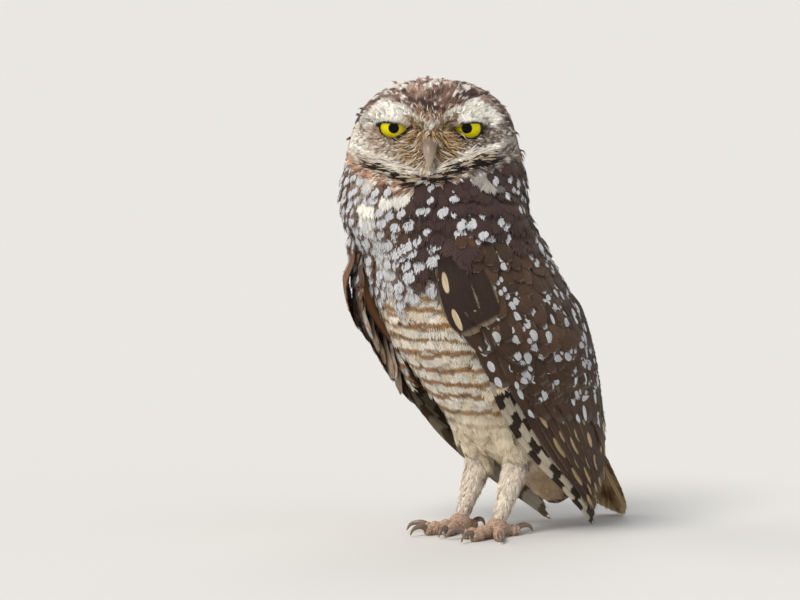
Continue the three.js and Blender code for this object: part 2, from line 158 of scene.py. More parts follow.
def head_point(turn, height):
    half, face, nape = head_at(height)
    flat = mix(1, 0.78, ease(height, 176, 190) * (1 - ease(height, 206, 216)))
    ahead = np.cos(turn)
    x = half * np.sign(np.sin(turn)) * np.abs(np.sin(turn)) ** flat
    deep = np.where(ahead > 0, face * np.maximum(ahead, 0) ** flat, nape * ahead)
    relief = face_relief(x, height - EYE_LEVEL)
    relief = relief * ease(ahead, 0.15, 0.6) * ease(CROWN - height, 0, 9)
    return to_body(np.stack(np.broadcast_arrays(x, -deep - relief, height), -1))


def smooth_line(points):
    """A smooth curve through points: place(along), with along from 0 to 1."""
    knots = np.linspace(0, 1, len(points))
    return lambda along: np.moveaxis(stations(np.column_stack([knots, points]))(along), 0, -1)


def full_turn(steps):
    return np.arange(steps)[None] / steps * 2 * np.pi


def tube(points, radius, wide=(1, 0, 0), turns=24, rings=28):
    """A round limb's rings along a curve. radius(along, turn) gives its half width and height."""
    line = smooth_line(points)
    along = np.linspace(0, 1, rings)[:, None]
    turn = full_turn(turns)
    centre = line(along[:, 0])
    ahead = unit(np.gradient(centre, axis=0))
    side = unit(np.array(wide, float) - ahead * (ahead @ np.array(wide, float))[:, None])
    up = np.cross(side, ahead)
    half, tall = radius(along, turn)
    close = np.sqrt(np.clip(1 - (2 * along - 1) ** 8, 0, 1))
    across = (half * close * np.cos(turn))[..., None] * side[:, None]
    return centre[:, None] + across + (tall * close * np.sin(turn))[..., None] * up[:, None]


def closed_rings(grid):
    """Points and triangles of a closed body from its rings."""
    rings, turns, _ = grid.shape
    a = (np.arange(rings - 1)[:, None] * turns + np.arange(turns)[None]).ravel()
    b = (np.arange(rings - 1)[:, None] * turns + (np.arange(turns)[None] + 1) % turns).ravel()
    around = [np.column_stack([a, b, b + turns]), np.column_stack([a, b + turns, a + turns])]
    fan = np.arange(1, turns - 1)
    low = np.column_stack([fan * 0, fan + 1, fan])
    last = (rings - 1) * turns
    high = np.column_stack([fan * 0 + last, fan + last, fan + 1 + last])
    return grid.reshape(-1, 3), np.vstack([*around, low, high])


def joined(parts):
    """Several bodies' points and triangles as one."""
    points, faces, count = [], [], 0
    for part_points, part_faces in parts:
        points.append(part_points)
        faces.append(part_faces + count)
        count += len(part_points)
    return np.vstack(points), np.vstack(faces)


# The frame's place of the left eye sets where the bird's own axes lie in it.
PER_METRE = 1000
eye_low, eye_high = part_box("eye_left")
EYE_LEFT = to_body([EYE_OUT, EYE_DEPTH, EYE_LEVEL + EYE_RISE])
SHIFT = np.array([(a + b) / 2 * PER_METRE for a, b in zip(eye_low, eye_high)]) - EYE_LEFT


def new_piece(name, points, faces, smooth=True):
    """A mesh object from millimetre points in the bird's own axes."""
    mesh = bpy.data.meshes.new(name)
    count = len(faces)
    mesh.vertices.add(len(points))
    mesh.vertices.foreach_set("co", ((points + SHIFT) / PER_METRE).ravel())
    mesh.loops.add(3 * count)
    mesh.loops.foreach_set("vertex_index", np.asarray(faces, np.int32).ravel())
    mesh.polygons.add(count)
    mesh.polygons.foreach_set("loop_start", np.arange(0, 3 * count, 3, dtype=np.int32))
    mesh.polygons.foreach_set("use_smooth", np.full(count, smooth))
    mesh.update(calc_edges=True)
    mesh.validate()
    piece = bpy.data.objects.new(name, mesh)
    scene.collection.objects.link(piece)
    return piece


def whole(place, low, high, turns, rings):
    turn = full_turn(turns)
    height = mix(low, high, (1 - np.cos(np.pi * np.linspace(0, 1, rings)[:, None])) / 2)
    return closed_rings(place(*np.broadcast_arrays(turn, height)))


def thigh(side):
    line = [(side * 15, 8, 62), (side * 13.6, 12, 50), (side * FOOT_OUT, HEEL_Y, HEEL_HEIGHT)]
    return closed_rings(tube(line, lambda a, t: (mix(11, 6.2, a), mix(13, 6.6, a))))


def shank(side):
    line = [
        (side * FOOT_OUT, HEEL_Y - 1, HEEL_HEIGHT + 4),
        (side * FOOT_OUT, HEEL_Y - 3.5, HEEL_HEIGHT - 6),
        (side * FOOT_OUT, FOOT_Y + 5, 15),
        (side * FOOT_OUT, FOOT_Y, 5),
    ]
    return closed_rings(tube(line, lambda a, t: (mix(4.6, 3.4, a), mix(4.9, 3.6, a))))


SKIN_VOXEL = 0.0015
SKIN_DEPTH = 2.2
LEG_DEPTH = 0.9
FACE_DEPTH = 1.5
# How far from an eye's middle the skin is drawn back behind its lower and its upper lid.
LOW_LID_REACH = 8.7
HIGH_LID_REACH = 7.4
BEHIND_LID = 1.8
flesh = [
    whole(torso_point, TORSO[0][0], TORSO[-1][0], turns=72, rings=48),
    whole(head_point, HEAD[0][0], HEAD[-1][0], turns=96, rings=64),
]
flesh += [make(side) for make in (thigh, shank) for side in SIDES.values()]
skin = new_piece("skin", *joined(flesh))
even = skin.modifiers.new("even", "REMESH")
even.mode = "VOXEL"
even.voxel_size = SKIN_VOXEL
soften = skin.modifiers.new("soften", "SMOOTH")
soften.iterations = 5


def settle(piece):
    """Applies a piece's modifiers."""
    solved = piece.evaluated_get(bpy.context.evaluated_depsgraph_get())
    mesh = bpy.data.meshes.new_from_object(solved)
    piece.modifiers.clear()
    piece.data = mesh


def read_vectors(items, field):
    values = np.empty(len(items) * 3)
    items.foreach_get(field, values)
    return values.reshape(-1, 3)


def read_points(piece):
    return read_vectors(piece.data.vertices, "co") * PER_METRE - SHIFT


def write_points(piece, points):
    piece.data.vertices.foreach_set("co", ((points + SHIFT) / PER_METRE).ravel())
    piece.data.update()


def read_faces(piece):
    piece.data.calc_loop_triangles()
    faces = np.empty(len(piece.data.loop_triangles) * 3, np.int32)
    piece.data.loop_triangles.foreach_get("vertices", faces)
    return faces.reshape(-1, 3)


settle(skin)
points = read_points(skin)
depth = mix(LEG_DEPTH, SKIN_DEPTH, ease(points[:, 2], 30, 60))
own = to_head(points)
faceward = ease(-own[:, 1], 5, 20) * ease(points[:, 2], 168, 178)
depth = mix(depth, FACE_DEPTH, faceward)
points -= read_vectors(skin.data.vertex_normals, "vector") * depth[:, None]
own = to_head(points)
for side in SIDES.values():
    off_x, off_z = own[:, 0] - side * EYE_OUT, own[:, 2] - EYE_LEVEL - EYE_RISE
    lower = off_z < 1
    near = np.hypot(off_x, off_z * np.where(lower, 1, 1.15))
    inside = (near < np.where(lower, LOW_LID_REACH, HIGH_LID_REACH)) & (own[:, 1] < 0)
    ball = EYE_DEPTH - np.sqrt(np.maximum((EYE_RADIUS + 0.5) ** 2 - near**2, 0)) + BEHIND_LID
    own[:, 1] = np.where(inside, np.maximum(own[:, 1], ball), own[:, 1])
points = to_body(own)
write_points(skin, points)
skin.data.polygons.foreach_set("use_smooth", np.full(len(skin.data.polygons), True))
skin_points, skin_faces = read_points(skin), read_faces(skin)

# The markings. The back and wings are dark brown with bluish white spots, the breast brown
# with white spots, the belly cream with ochre bars, the face grey-brown with white brows
# and a white moustache over a dark crease and a white throat. Skin and feathers share them.


def paint(text):
    """A linear colour from its written form."""
    value = np.array([int(text[i : i + 2], 16) / 255 for i in (1, 3, 5)])
    return np.where(value <= 0.04045, value / 12.92, ((value + 0.055) / 1.055) ** 2.4)


BACK_BROWN = paint("#4b3629")
WING_BROWN = paint("#4b3626")
# The next two colours go mostly on the far, right wing. They are painted warm light that makes it paler and
# warmer than the near wing, laid partly over the wrist's own rufous brown.
WRIST_BROWN_AND_PAINTED_LIGHT = paint("#94633c")
FAR_WING_PAINTED_LIGHT = paint("#9a8065")
BREAST_BROWN = paint("#5f473a")
SHADE_BROWN = paint("#3f2e2a")
SPOT_WHITE = paint("#d6d8dc")
BELLY_CREAM = paint("#e9e1d3")
BAR_OCHRE = paint("#8a5d27")
BELLY_GOLD = paint("#d8bd8a")
# The undertail's tan: partly the feathers' own colour and partly painted shade under the body.
UNDERTAIL_TAN_AND_SHADE = paint("#c4a888")
VENT_CREAM = paint("#eadcc0")
CROWN_BROWN = paint("#7f6457")
CHEEK_LIT = paint("#b69a80")
CHEEK_SHADE = paint("#7e6c60")
FACE_GOLD = paint("#a88352")
BROW_WHITE = paint("#f2ede3")
CREASE_BROWN = paint("#2c1f18")
RUFF_PINK = paint("#b98f74")
LEG_CREAM = paint("#f0e5d4")
# By the distance from the face's middle: the heights over the eyes' level of the brow's two
# edges, and, by the side as well, of the dark crease under the face.
BROW_LOW = ([0, 4, 8, 12, 17, 24, 30], [-0.7, 0.5, 2.2, 2.7, 2.7, 1.3, -0.7])
BROW_HIGH = ([0, 4, 9, 14, 19, 24, 29, 34], [1.3, 3.3, 5.7, 9.5, 12.3, 10.9, 6.7, 2.7])
CREASE = (
    [-44, -30, -22, -12, -4, 0, 5, 16, 23, 44],
    [-13.3, -17.9, -20.3, -23.9, -25.5, -25.1, -22.5, -18.2, -16.5, -10],
)


# A spot size at which a feather has none.
NO_SPOTS = -1.5


def waver(points, size, seed):
    """A smooth random field between -1 and 1, made of a few crossed waves."""
    rng = np.random.default_rng(seed)
    total = 0
    for _ in range(5):
        way = unit(rng.normal(size=3)) / size * rng.uniform(0.7, 1.5)
        total = total + np.sin(points @ way * 2 * np.pi + rng.uniform(0, 6.3))
    return total / 2.6


def blend(low, high, amount):
    """Colours between two, by an amount for each place."""
    return low + (high - low) * np.asarray(amount)[..., None]


def crease_rise(x):
    """How high over the eyes' level the dark crease under the face runs."""
    return np.interp(x, *CREASE)


def face_marks(points):
    """The head's colour, how much its tufts vary, and how far it is crown rather than face."""
    own = to_head(points)
    x, y, rise = own[:, 0], own[:, 1], own[:, 2] - EYE_LEVEL
    out = np.abs(x)
    rise = rise + 0.7 * waver(points, 7, 3) + 0.5 * waver(points, 2.6, 4)
    front = ease(-y, 2, 12)
    low, high = np.interp(out, *BROW_LOW), np.interp(out, *BROW_HIGH)
    cheek = blend(CHEEK_LIT, CHEEK_SHADE, ease(x, -4, 22))
    below = front * (1 - ease(rise - low, -1, 1.5))
    ground = blend(CROWN_BROWN, cheek, below)
    pale = 0.7 * ease(-x, 25, 33) * bell((rise + 7) / 8)
    pale = pale + 0.2 * bell((out - 21) / 6) * bell((rise + 13) / 3)
    ground = blend(ground, BROW_WHITE, np.clip(pale, 0, 1) * front)
    gold = bell(np.hypot((out - 6) / 7, (rise + 7) / 8.5)) * front
    ground = blend(ground, FACE_GOLD, np.clip(gold * 1.2, 0, 0.85))
    lores = bell((out - 5) / 2.4) * bell((rise + 7) / 6)
    lores = lores + 0.7 * bell(out / 2.6) * bell((rise + 4) / 2.2)
    ground = blend(ground, CREASE_BROWN, np.clip(0.95 * lores, 0, 0.88) * front)
    under = bell((out - EYE_OUT) / 7) * bell((rise + 9.5) / 1.6) * front
    ground = blend(ground, CREASE_BROWN, 0.4 * under)
    edge = crease_rise(x)
    beard = ease(2.8 - np.abs(rise - edge - 4.6), 0, 1.6)
    beard = beard * front * mix(0.3, 1, ease(out, 4, 10))
    beard = beard * (1 - 0.8 * ease(x, 30, 36))
    ground = blend(ground, BROW_WHITE, beard)
    brow = ease(rise - low, -0.6, 0.8) * (1 - ease(rise - high, -1.4, 1.4))
    brow = brow * front * (1 - ease(out, 29, 36))
    ground = blend(ground, BROW_WHITE, brow)
    rim = bell((rise - low - 0.1) / 0.9) * ease(out, 3, 5) * (1 - ease(out, 12, 16)) * front
    ground = blend(ground, FACE_GOLD, 0.8 * rim)
    crease = ease(2.3 - np.abs(rise - edge), 0, 1.0)
    crease = np.maximum(crease, 0.6 * ease(0.9 - np.abs(rise - edge - 3.2), 0, 0.6))
    ground = blend(ground, CREASE_BROWN, crease * front * (1 - ease(out, 27, 36)))
    ruff = ease(edge - rise, 1.0, 2.2) * front
    ground = blend(ground, RUFF_PINK, ruff * (1 - ease(x, -4, 6)))
    ground = blend(ground, *neck_white(x, rise, front))
    crown = (1 - below) * (1 - brow) * (1 - ruff)
    varied = 1 - 0.7 * np.clip(brow + beard + crown, 0, 1)
    return ground, varied, crown


def neck_white(x, rise, front):
    """The white throat band under the crease on the right, and the white stripe on the left."""
    band = rise + 28.5 - 0.42 * np.minimum(x, 0)
    patch = ease(3.3 - np.abs(band), 0, 2.4) * ease(-x, -6, 0) * (1 - ease(-x, 30, 40))
    stripe = 0.5 * ease(1.6 - np.abs(rise + 23.5 + 9.5 * ease(x, 12, 42)), 0, 1.6)
    stripe = stripe * ease(x, 11, 16) * (1 - ease(x, 27, 34))
    return BROW_WHITE, np.clip(patch + stripe, 0, 1) * front * 0.85


def body_marks(points, side_turn):
    """The torso's ground and mark colours, its bars' strength and its spots' size."""
    z = points[:, 2]
    wander = waver(points, 20, 5)
    own = to_head(points)
    behind = ease(np.sin(side_turn), -0.12, 0.3)
    upper = ease(z + 8 * wander + 4 * waver(points, 8, 6), 98, 120)
    vent = (1 - ease(z + 4 * wander, 48, 62)) * (1 - behind)
    wingward = ease(np.cos(side_turn) + 0.12 * wander, 0.06, 0.34)
    ground = blend(BELLY_CREAM, blend(BREAST_BROWN, SHADE_BROWN, wingward), upper)
    gold = ease(waver(points, 14, 31), -0.1, 0.9) * (1 - behind) * (1 - upper)
    ground = blend(ground, BELLY_GOLD, 0.55 * gold)
    ground = blend(ground, VENT_CREAM, vent)
    # Low at the back, under the body, the ground turns tan: partly the undertail feathers' own tan and partly
    # painted shade.
    ground = blend(ground, UNDERTAIL_TAN_AND_SHADE, ease(points[:, 1], 20, 40) * (1 - ease(z, 30, 50)))
    ground = blend(ground, BACK_BROWN, behind)
    spotted = np.maximum(upper, behind) > 0.5
    mark = blend(BAR_OCHRE, SPOT_WHITE * 0.8, spotted)
    bars = ~spotted * (1 - 0.75 * vent)
    spots = np.where(spotted, np.where(behind > 0.5, 0.6, 1.1), NO_SPOTS)
    middle = bell(side_turn_to_front(side_turn + 0.12) / 0.065) * ease(z, 104, 118) * (1 - behind)
    ground = blend(ground, BROW_WHITE, 0.75 * middle)
    neck = ease(z, 160, 168) * ease(-own[:, 1], 2, 12)
    ground = blend(ground, SHADE_BROWN, 0.5 * neck * (1 - middle) * ease(own[:, 0], -12, 4))
    rise = own[:, 2] - EYE_LEVEL + 2.2 * waver(points, 9, 12)
    white, share = neck_white(own[:, 0], rise, ease(-own[:, 1], 2, 12))
    ground = blend(ground, white, share)
    return ground, mark, bars, spots * (1 - share)


def side_turn_to_front(turn):
    """The angle away from the breast's middle line."""
    return np.abs((turn + np.pi / 2 + np.pi) % (2 * np.pi) - np.pi)


def turn_of(points):
    breast, back, half = torso_at(points[:, 2])
    middle, deep = (breast + back) / 2, (back - breast) / 2
    return np.arctan2((points[:, 1] - middle) / np.maximum(deep, 1), points[:, 0] / np.maximum(half, 1))


def wiring(group_name, inputs, outputs):
    """A new shader node group of number inputs, with its two end nodes."""
    group = bpy.data.node_groups.new(group_name, "ShaderNodeTree")
    for name, value in inputs.items():
        socket = group.interface.new_socket(name, in_out="INPUT", socket_type="NodeSocketFloat")
        socket.default_value = value
    for name, kind in outputs.items():
        group.interface.new_socket(name, in_out="OUTPUT", socket_type=kind)
    return group, group.nodes.new("NodeGroupInput"), group.nodes.new("NodeGroupOutput")


def put(tree, socket, value):
    """Feeds a socket from another socket, or sets it."""
    if isinstance(value, bpy.types.NodeSocket):
        tree.links.new(value, socket)
    else:
        socket.default_value = value


def sum_of(tree, operation, *values):
    node = tree.nodes.new("ShaderNodeMath")
    node.operation = operation
    for socket, value in zip(node.inputs, values):
        put(tree, socket, value)
    return node.outputs[0]


def vector_of(tree, *parts):
    node = tree.nodes.new("ShaderNodeCombineXYZ")
    for socket, part in zip(node.inputs, parts):
        put(tree, socket, part)
    return node.outputs[0]


def step_of(tree, value, low, high, kind="SMOOTHSTEP"):
    node = tree.nodes.new("ShaderNodeMapRange")
    node.interpolation_type = kind
    for name, number in (("Value", value), ("From Min", low), ("From Max", high)):
        put(tree, node.inputs[name], number)
    return node.outputs["Result"]


def mix_of(tree, factor, low, high, kind="MIX"):
    node = tree.nodes.new("ShaderNodeMix")
    node.data_type = "RGBA"
    node.blend_type = kind
    for name, value in (("Factor", factor), ("A", low), ("B", high)):
        put(tree, node.inputs[name], value)
    return node.outputs["Result"]


def read_of(tree, name, output="Vector"):
    node = tree.nodes.new("ShaderNodeAttribute")
    node.attribute_name = name
    return node.outputs[output]


def parts_of(tree, vector):
    node = tree.nodes.new("ShaderNodeSeparateXYZ")
    put(tree, node.inputs[0], vector)
    return node.outputs


def noise_of(tree, vector, scale, detail=2.0):
    node = tree.nodes.new("ShaderNodeTexNoise")
    for name, value in (("Vector", vector), ("Scale", scale), ("Detail", detail)):
        put(tree, node.inputs[name], value)
    return node.outputs["Fac"]


# A feather's own markings: bars across it, pairs of round spots down it, a pale rim, and a
# streak along its shaft, all over the fine lines of its barbs.
marks_group, given, shown = wiring(
    "feather_marks",
    {
        "Barbs": 60.0, "Barb Depth": 0.3, "Shaft": 0.5, "Spot Apart": 0.5, "Spot Half": 0.27,
        "Spot Phase": 0.0, "Spot Shift": 0.25, "Lopsided": 0.0, "Bar Gap": 0.1, "Crisp": 1.0,
        "Fray": 0.5,
    },
    {"Color": "NodeSocketColor", "Roughness": "NodeSocketFloat", "Height": "NodeSocketFloat"},
)
t = marks_group
given = given.outputs
plus, minus, times, over, fused, largest = (
    partial(sum_of, t, kind) for kind in ("ADD", "SUBTRACT", "MULTIPLY", "DIVIDE", "MULTIPLY_ADD", "MAXIMUM")
)
across, along, seed = parts_of(t, read_of(t, "vane"))
bars, spots, rim = parts_of(t, read_of(t, "style"))
bar_rows, spot_rows, streak = parts_of(t, read_of(t, "rows"))
out = sum_of(t, "ABSOLUTE", across)
inward = times(out, -1.0)
half_side = sum_of(t, "SIGN", across)
stray_place = vector_of(t, times(across, 2.2), times(along, 5.0), times(seed, 91.0))
stray = minus(noise_of(t, stray_place, 1.6), 0.5)
phase = fused(along, bar_rows, read_of(t, "ground", "Alpha"))
phase = fused(stray, given["Fray"], fused(out, -0.1, phase))
wave = sum_of(t, "SINE", times(phase, 2 * math.pi))
wave = times(minus(wave, given["Bar Gap"]), given["Crisp"])
bar_mask = times(step_of(t, wave, -0.15, 0.2), bars)
lop = minus(sum_of(t, "FRACT", times(seed, 7.0)), 0.5)
spots = plus(spots, times(times(lop, half_side), given["Lopsided"]))
cell = fused(along, spot_rows, fused(seed, given["Spot Shift"], times(half_side, 0.09)))
cell = sum_of(t, "FRACT", plus(cell, given["Spot Phase"]))
cell = over(minus(cell, 0.55), 0.34)
beside = over(minus(out, given["Spot Apart"]), given["Spot Half"])
far = plus(times(cell, cell), times(beside, beside))
far = fused(stray, times(given["Fray"], 1.8), far)
spot_mask = step_of(t, minus(spots, far), -0.12, 0.2)
rim_mask = times(largest(step_of(t, along, 0.9, 0.97), step_of(t, out, 0.84, 0.95)), rim)
line_mask = times(times(step_of(t, inward, -0.42, -0.12), streak), step_of(t, along, 0.35, 0.6))
mask = largest(largest(bar_mask, spot_mask), largest(rim_mask, line_mask))
colour = mix_of(t, mask, read_of(t, "ground", "Color"), read_of(t, "mark", "Color"))
barb = fused(stray, 0.06, fused(out, -0.35, along))
barb = sum_of(t, "SINE", times(barb, given["Barbs"]))
grain_place = vector_of(t, times(across, 9.0), times(along, 3.0), times(seed, 57.0))
grain = minus(noise_of(t, grain_place, 1.5, 3.0), 0.5)
shade = fused(grain, 0.9, fused(stray, 0.25, fused(barb, 0.12, 0.97)))
shade = times(shade, step_of(t, along, -0.5, 0.55, "LINEAR"))
colour = mix_of(t, 1.0, colour, vector_of(t, shade, shade, shade), "MULTIPLY")
shaft = times(step_of(t, inward, -0.06, -0.03), given["Shaft"])
colour = mix_of(t, shaft, colour, (0.03, 0.02, 0.015, 1))
put(t, shown.inputs["Color"], colour)
put(t, shown.inputs["Roughness"], fused(stray, 0.2, 0.78))
put(t, shown.inputs["Height"], times(plus(barb, shaft), given["Barb Depth"]))


def new_material(name):
    """A material with its node tree and its shader."""
    material = bpy.data.materials.new(name)
    material.use_nodes = True
    return material, material.node_tree, material.node_tree.nodes["Principled BSDF"]


def bump_of(tree, shader, height, distance, strength=1.0):
    """Raises the surface by a height, over a distance in metres."""
    node = tree.nodes.new("ShaderNodeBump")
    for name, value in (("Height", height), ("Distance", distance), ("Strength", strength)):
        put(tree, node.inputs[name], value)
    tree.links.new(node.outputs["Normal"], shader.inputs["Normal"])


BARB_HEIGHT = 0.0004


def feather_material(name, sheen=0.1, **looks):
    material, tree, shader = new_material(name)
    marks = tree.nodes.new("ShaderNodeGroup")
    marks.node_tree = marks_group
    for look, value in looks.items():
        marks.inputs[look.replace("_", " ").title()].default_value = value
    put(tree, shader.inputs["Base Color"], marks.outputs["Color"])
    put(tree, shader.inputs["Roughness"], marks.outputs["Roughness"])
    bump_of(tree, shader, marks.outputs["Height"], BARB_HEIGHT, 0.6)
    shader.inputs["Specular IOR Level"].default_value = 0.25
    shader.inputs["Sheen Weight"].default_value = sheen
    return material


SOFT_FEATHER = feather_material(
    "soft_feather", barbs=70.0, barb_depth=0.25, shaft=0.1, spot_apart=0.0, spot_half=0.5,
    spot_phase=-0.02, spot_shift=0.12, bar_gap=0.3, crisp=0.28, fray=0.2,
)
COVERT_FEATHER = feather_material(
    "covert_feather", barbs=90.0, barb_depth=0.35, shaft=0.15, spot_apart=0.3, spot_half=0.34,
    spot_phase=0.31, spot_shift=0.08, lopsided=2.2, fray=0.25,
)
COVERT_VANE = feather_material(
    "covert_vane", 0.05, barbs=190.0, barb_depth=0.5, shaft=0.3, spot_apart=0.44, spot_half=0.21,
    lopsided=1.5, fray=0.3,
)
VANE_FEATHER = feather_material(
    "vane_feather", 0.05, barbs=260.0, barb_depth=0.5, shaft=0.35, spot_apart=0.5, lopsided=0.8,
    bar_gap=-0.1, crisp=0.8, fray=0.25,
)
TUFT = feather_material("face_tuft", barbs=24.0, barb_depth=0.15, shaft=0.0)
# The mark colour, style and rows of tufts without marks.
UNMARKED = (SPOT_WHITE, (0, NO_SPOTS, 0), (1, 1, 0))


def skin_colours(points):
    ground, _, bars, spots = body_marks(points, turn_of(points))
    face = face_marks(points)[0]
    ground = blend(ground, BAR_OCHRE, 0.35 * bars)
    ground = blend(ground, face, ease(points[:, 2], 172, 176))
    return blend(LEG_CREAM, ground, ease(points[:, 2], 40, 46)) * 0.8


def attribute(piece, name, values):
    """Writes vectors or, with a fourth number, colours on a piece's points."""
    coloured = values.shape[1] == 4
    kind, field = ("FLOAT_COLOR", "color") if coloured else ("FLOAT_VECTOR", "vector")
    layer = piece.data.attributes.new(name, kind, "POINT")
    layer.data.foreach_set(field, np.ascontiguousarray(values).ravel())


def rows_of(value, count):
    """One row of three numbers for each of many places or feathers."""
    return np.broadcast_to(np.asarray(value, float), (count, 3))


def dress(piece, ground, mark, style=(0, -1, 0), rows=(1, 1, 0), vane=(0.5, 0.9, 0.3), phase=0.0):
    """Writes the markings that the materials read, with the bars' phase beside the ground."""
    count = len(piece.data.vertices)
    phases = np.broadcast_to(phase, (1, count)).T
    attribute(piece, "ground", np.hstack([rows_of(ground, count), phases]))
    attribute(piece, "mark", np.hstack([rows_of(mark, count), np.ones((count, 1))]))
    for name, value in (("style", style), ("rows", rows), ("vane", vane)):
        attribute(piece, name, rows_of(value, count))


def fasten(piece, material, slot, *nodes):
    """Gives a piece its finish, fixes it to the body, and hides the solids that it stands for."""
    piece.data.materials.append(material)
    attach(piece, "root")
    if nodes:
        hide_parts(*nodes)


dress(skin, skin_colours(skin_points), SPOT_WHITE)
leg_nodes = [f"{part}_{side}" for part in ("thigh", "shank") for side in SIDES]
fasten(skin, TUFT, "breast_plumage", "torso", "neck", "head", *leg_nodes)

# The eyes: large glossy balls with a lemon yellow iris round a black pupil that looks out level
# from under the upper lid. Domed lids cover the rest of each ball, with a bare black rim.
EYE_RINGS, EYE_TURNS = 40, 48
PUPIL_OFF = np.array([-0.7, -1.9])
PUPIL_RADIUS = 2.5
IRIS_RADIUS = 7.4
IRIS_LEMON, IRIS_GOLD, IRIS_EDGE = (0.84, 0.75, 0.01, 1), (0.72, 0.6, 0.004, 1), (0.5, 0.38, 0.01, 1)
PUPIL_BLACK, BALL_BLACK = (0.002, 0.002, 0.003, 1), (0.01, 0.007, 0.005, 1)
eye_material, tree, shader = new_material("eye_wet")
gaze_x, gaze_z, _ = parts_of(tree, read_of(tree, "gaze"))
squares = [sum_of(tree, "MULTIPLY", value, value) for value in (gaze_x, gaze_z)]
away = sum_of(tree, "SQRT", sum_of(tree, "ADD", *squares))
spoke = sum_of(tree, "ARCTAN2", gaze_x, gaze_z)
spoke_ways = [sum_of(tree, "MULTIPLY", sum_of(tree, kind, spoke), 3.0) for kind in ("COSINE", "SINE")]
fibre_place = vector_of(tree, *spoke_ways, sum_of(tree, "MULTIPLY", away, 0.25))
fibre = noise_of(tree, fibre_place, 6.0, 4.0)
iris = mix_of(tree, step_of(tree, fibre, 0.3, 0.7), IRIS_GOLD, IRIS_LEMON)
iris = mix_of(tree, step_of(tree, away, 5.6, IRIS_RADIUS), iris, IRIS_EDGE)
iris = mix_of(tree, step_of(tree, away, PUPIL_RADIUS - 0.12, PUPIL_RADIUS + 0.16), PUPIL_BLACK, iris)
iris = mix_of(tree, step_of(tree, away, IRIS_RADIUS - 0.2, IRIS_RADIUS + 0.2), iris, BALL_BLACK)
put(tree, shader.inputs["Base Color"], iris)
shader.inputs["Roughness"].default_value = 0.15
shader.inputs["Specular IOR Level"].default_value = 0.06
shader.inputs["Coat Weight"].default_value = 0.1
shader.inputs["Coat Roughness"].default_value = 0.04


def own_place(tree):
    return tree.nodes.new("ShaderNodeTexCoord").outputs["Object"]


lid_material, tree, shader = new_material("lid_skin")
grain = noise_of(tree, own_place(tree), 1400.0, 3.0)
grain = mix_of(tree, grain, (0.75, 0.72, 0.7, 1), (1.15, 1.1, 1.05, 1))
put(tree, shader.inputs["Base Color"], mix_of(tree, 1.0, read_of(tree, "ground", "Color"), grain, "MULTIPLY"))
shader.inputs["Roughness"].default_value = 0.5

# The opening between the lids, as places off the pupil's middle: outwards and upwards.
LID_LINE = [
    (-6.3, -0.3), (-3.4, 1.7), (0.0, 2.3), (3.4, 2.4), (5.9, 2.1), (6.7, 0.2), (6.1, -2.4),
    (4.2, -4.2), (1.5, -4.9), (-1.2, -4.2), (-4.2, -2.4), (-6.3, -0.3),
]
LID_STEPS = 72
LID_MIDDLE = np.array([0.0, -1.2])
LID_RIM = np.array([0.012, 0.009, 0.008])
# The lid's section, from its rim outwards: the way from the opening's edge, and the radius.
LID_SECTION = [
    (-0.5, 7.9), (-0.2, 8.5), (0.3, 8.8), (1.0, 8.85), (2.2, 8.9), (3.5, 8.9), (5.0, 8.85),
    (7.0, 8.8), (9.0, 8.7),
]
lid_line = smooth_line([(x, z, 0) for x, z in LID_LINE])(np.arange(LID_STEPS) / LID_STEPS)[:, :2]
lid_turns = np.arctan2(*(lid_line - LID_MIDDLE).T[::-1])
lid_spans = np.linalg.norm(lid_line - LID_MIDDLE, axis=1)


def eye_centre(side):
    return np.array([side * EYE_OUT, EYE_DEPTH, EYE_LEVEL + EYE_RISE])


def lid_gap(points):
    """How far places of the face lie outside of the nearer eye's opening, and the way out."""
    own = to_head(points)
    gaps, ways = [], []
    for side in SIDES.values():
        middle = eye_centre(side)[[0, 2]] + PUPIL_OFF + LID_MIDDLE
        off = own[:, [0, 2]] - middle
        span = np.linalg.norm(off, axis=1)
        rim = np.interp(np.arctan2(off[:, 1], side * off[:, 0]), lid_turns, lid_spans, period=2 * np.pi)
        gaps.append(span - rim)
        ways.append(off / np.maximum(span, 0.1)[:, None])
    first = gaps[0] < gaps[1]
    return np.minimum(*gaps), np.where(first[:, None], *ways)


def ball_rings(rings, turns):
    """A round ball's rings from pole to pole: its places across, on, and along the poles' line."""
    ring = np.linspace(0, np.pi, rings)[:, None]
    turn = full_turn(turns)
    return np.broadcast_arrays(np.sin(ring) * np.cos(turn), np.sin(ring) * np.sin(turn), np.cos(ring))


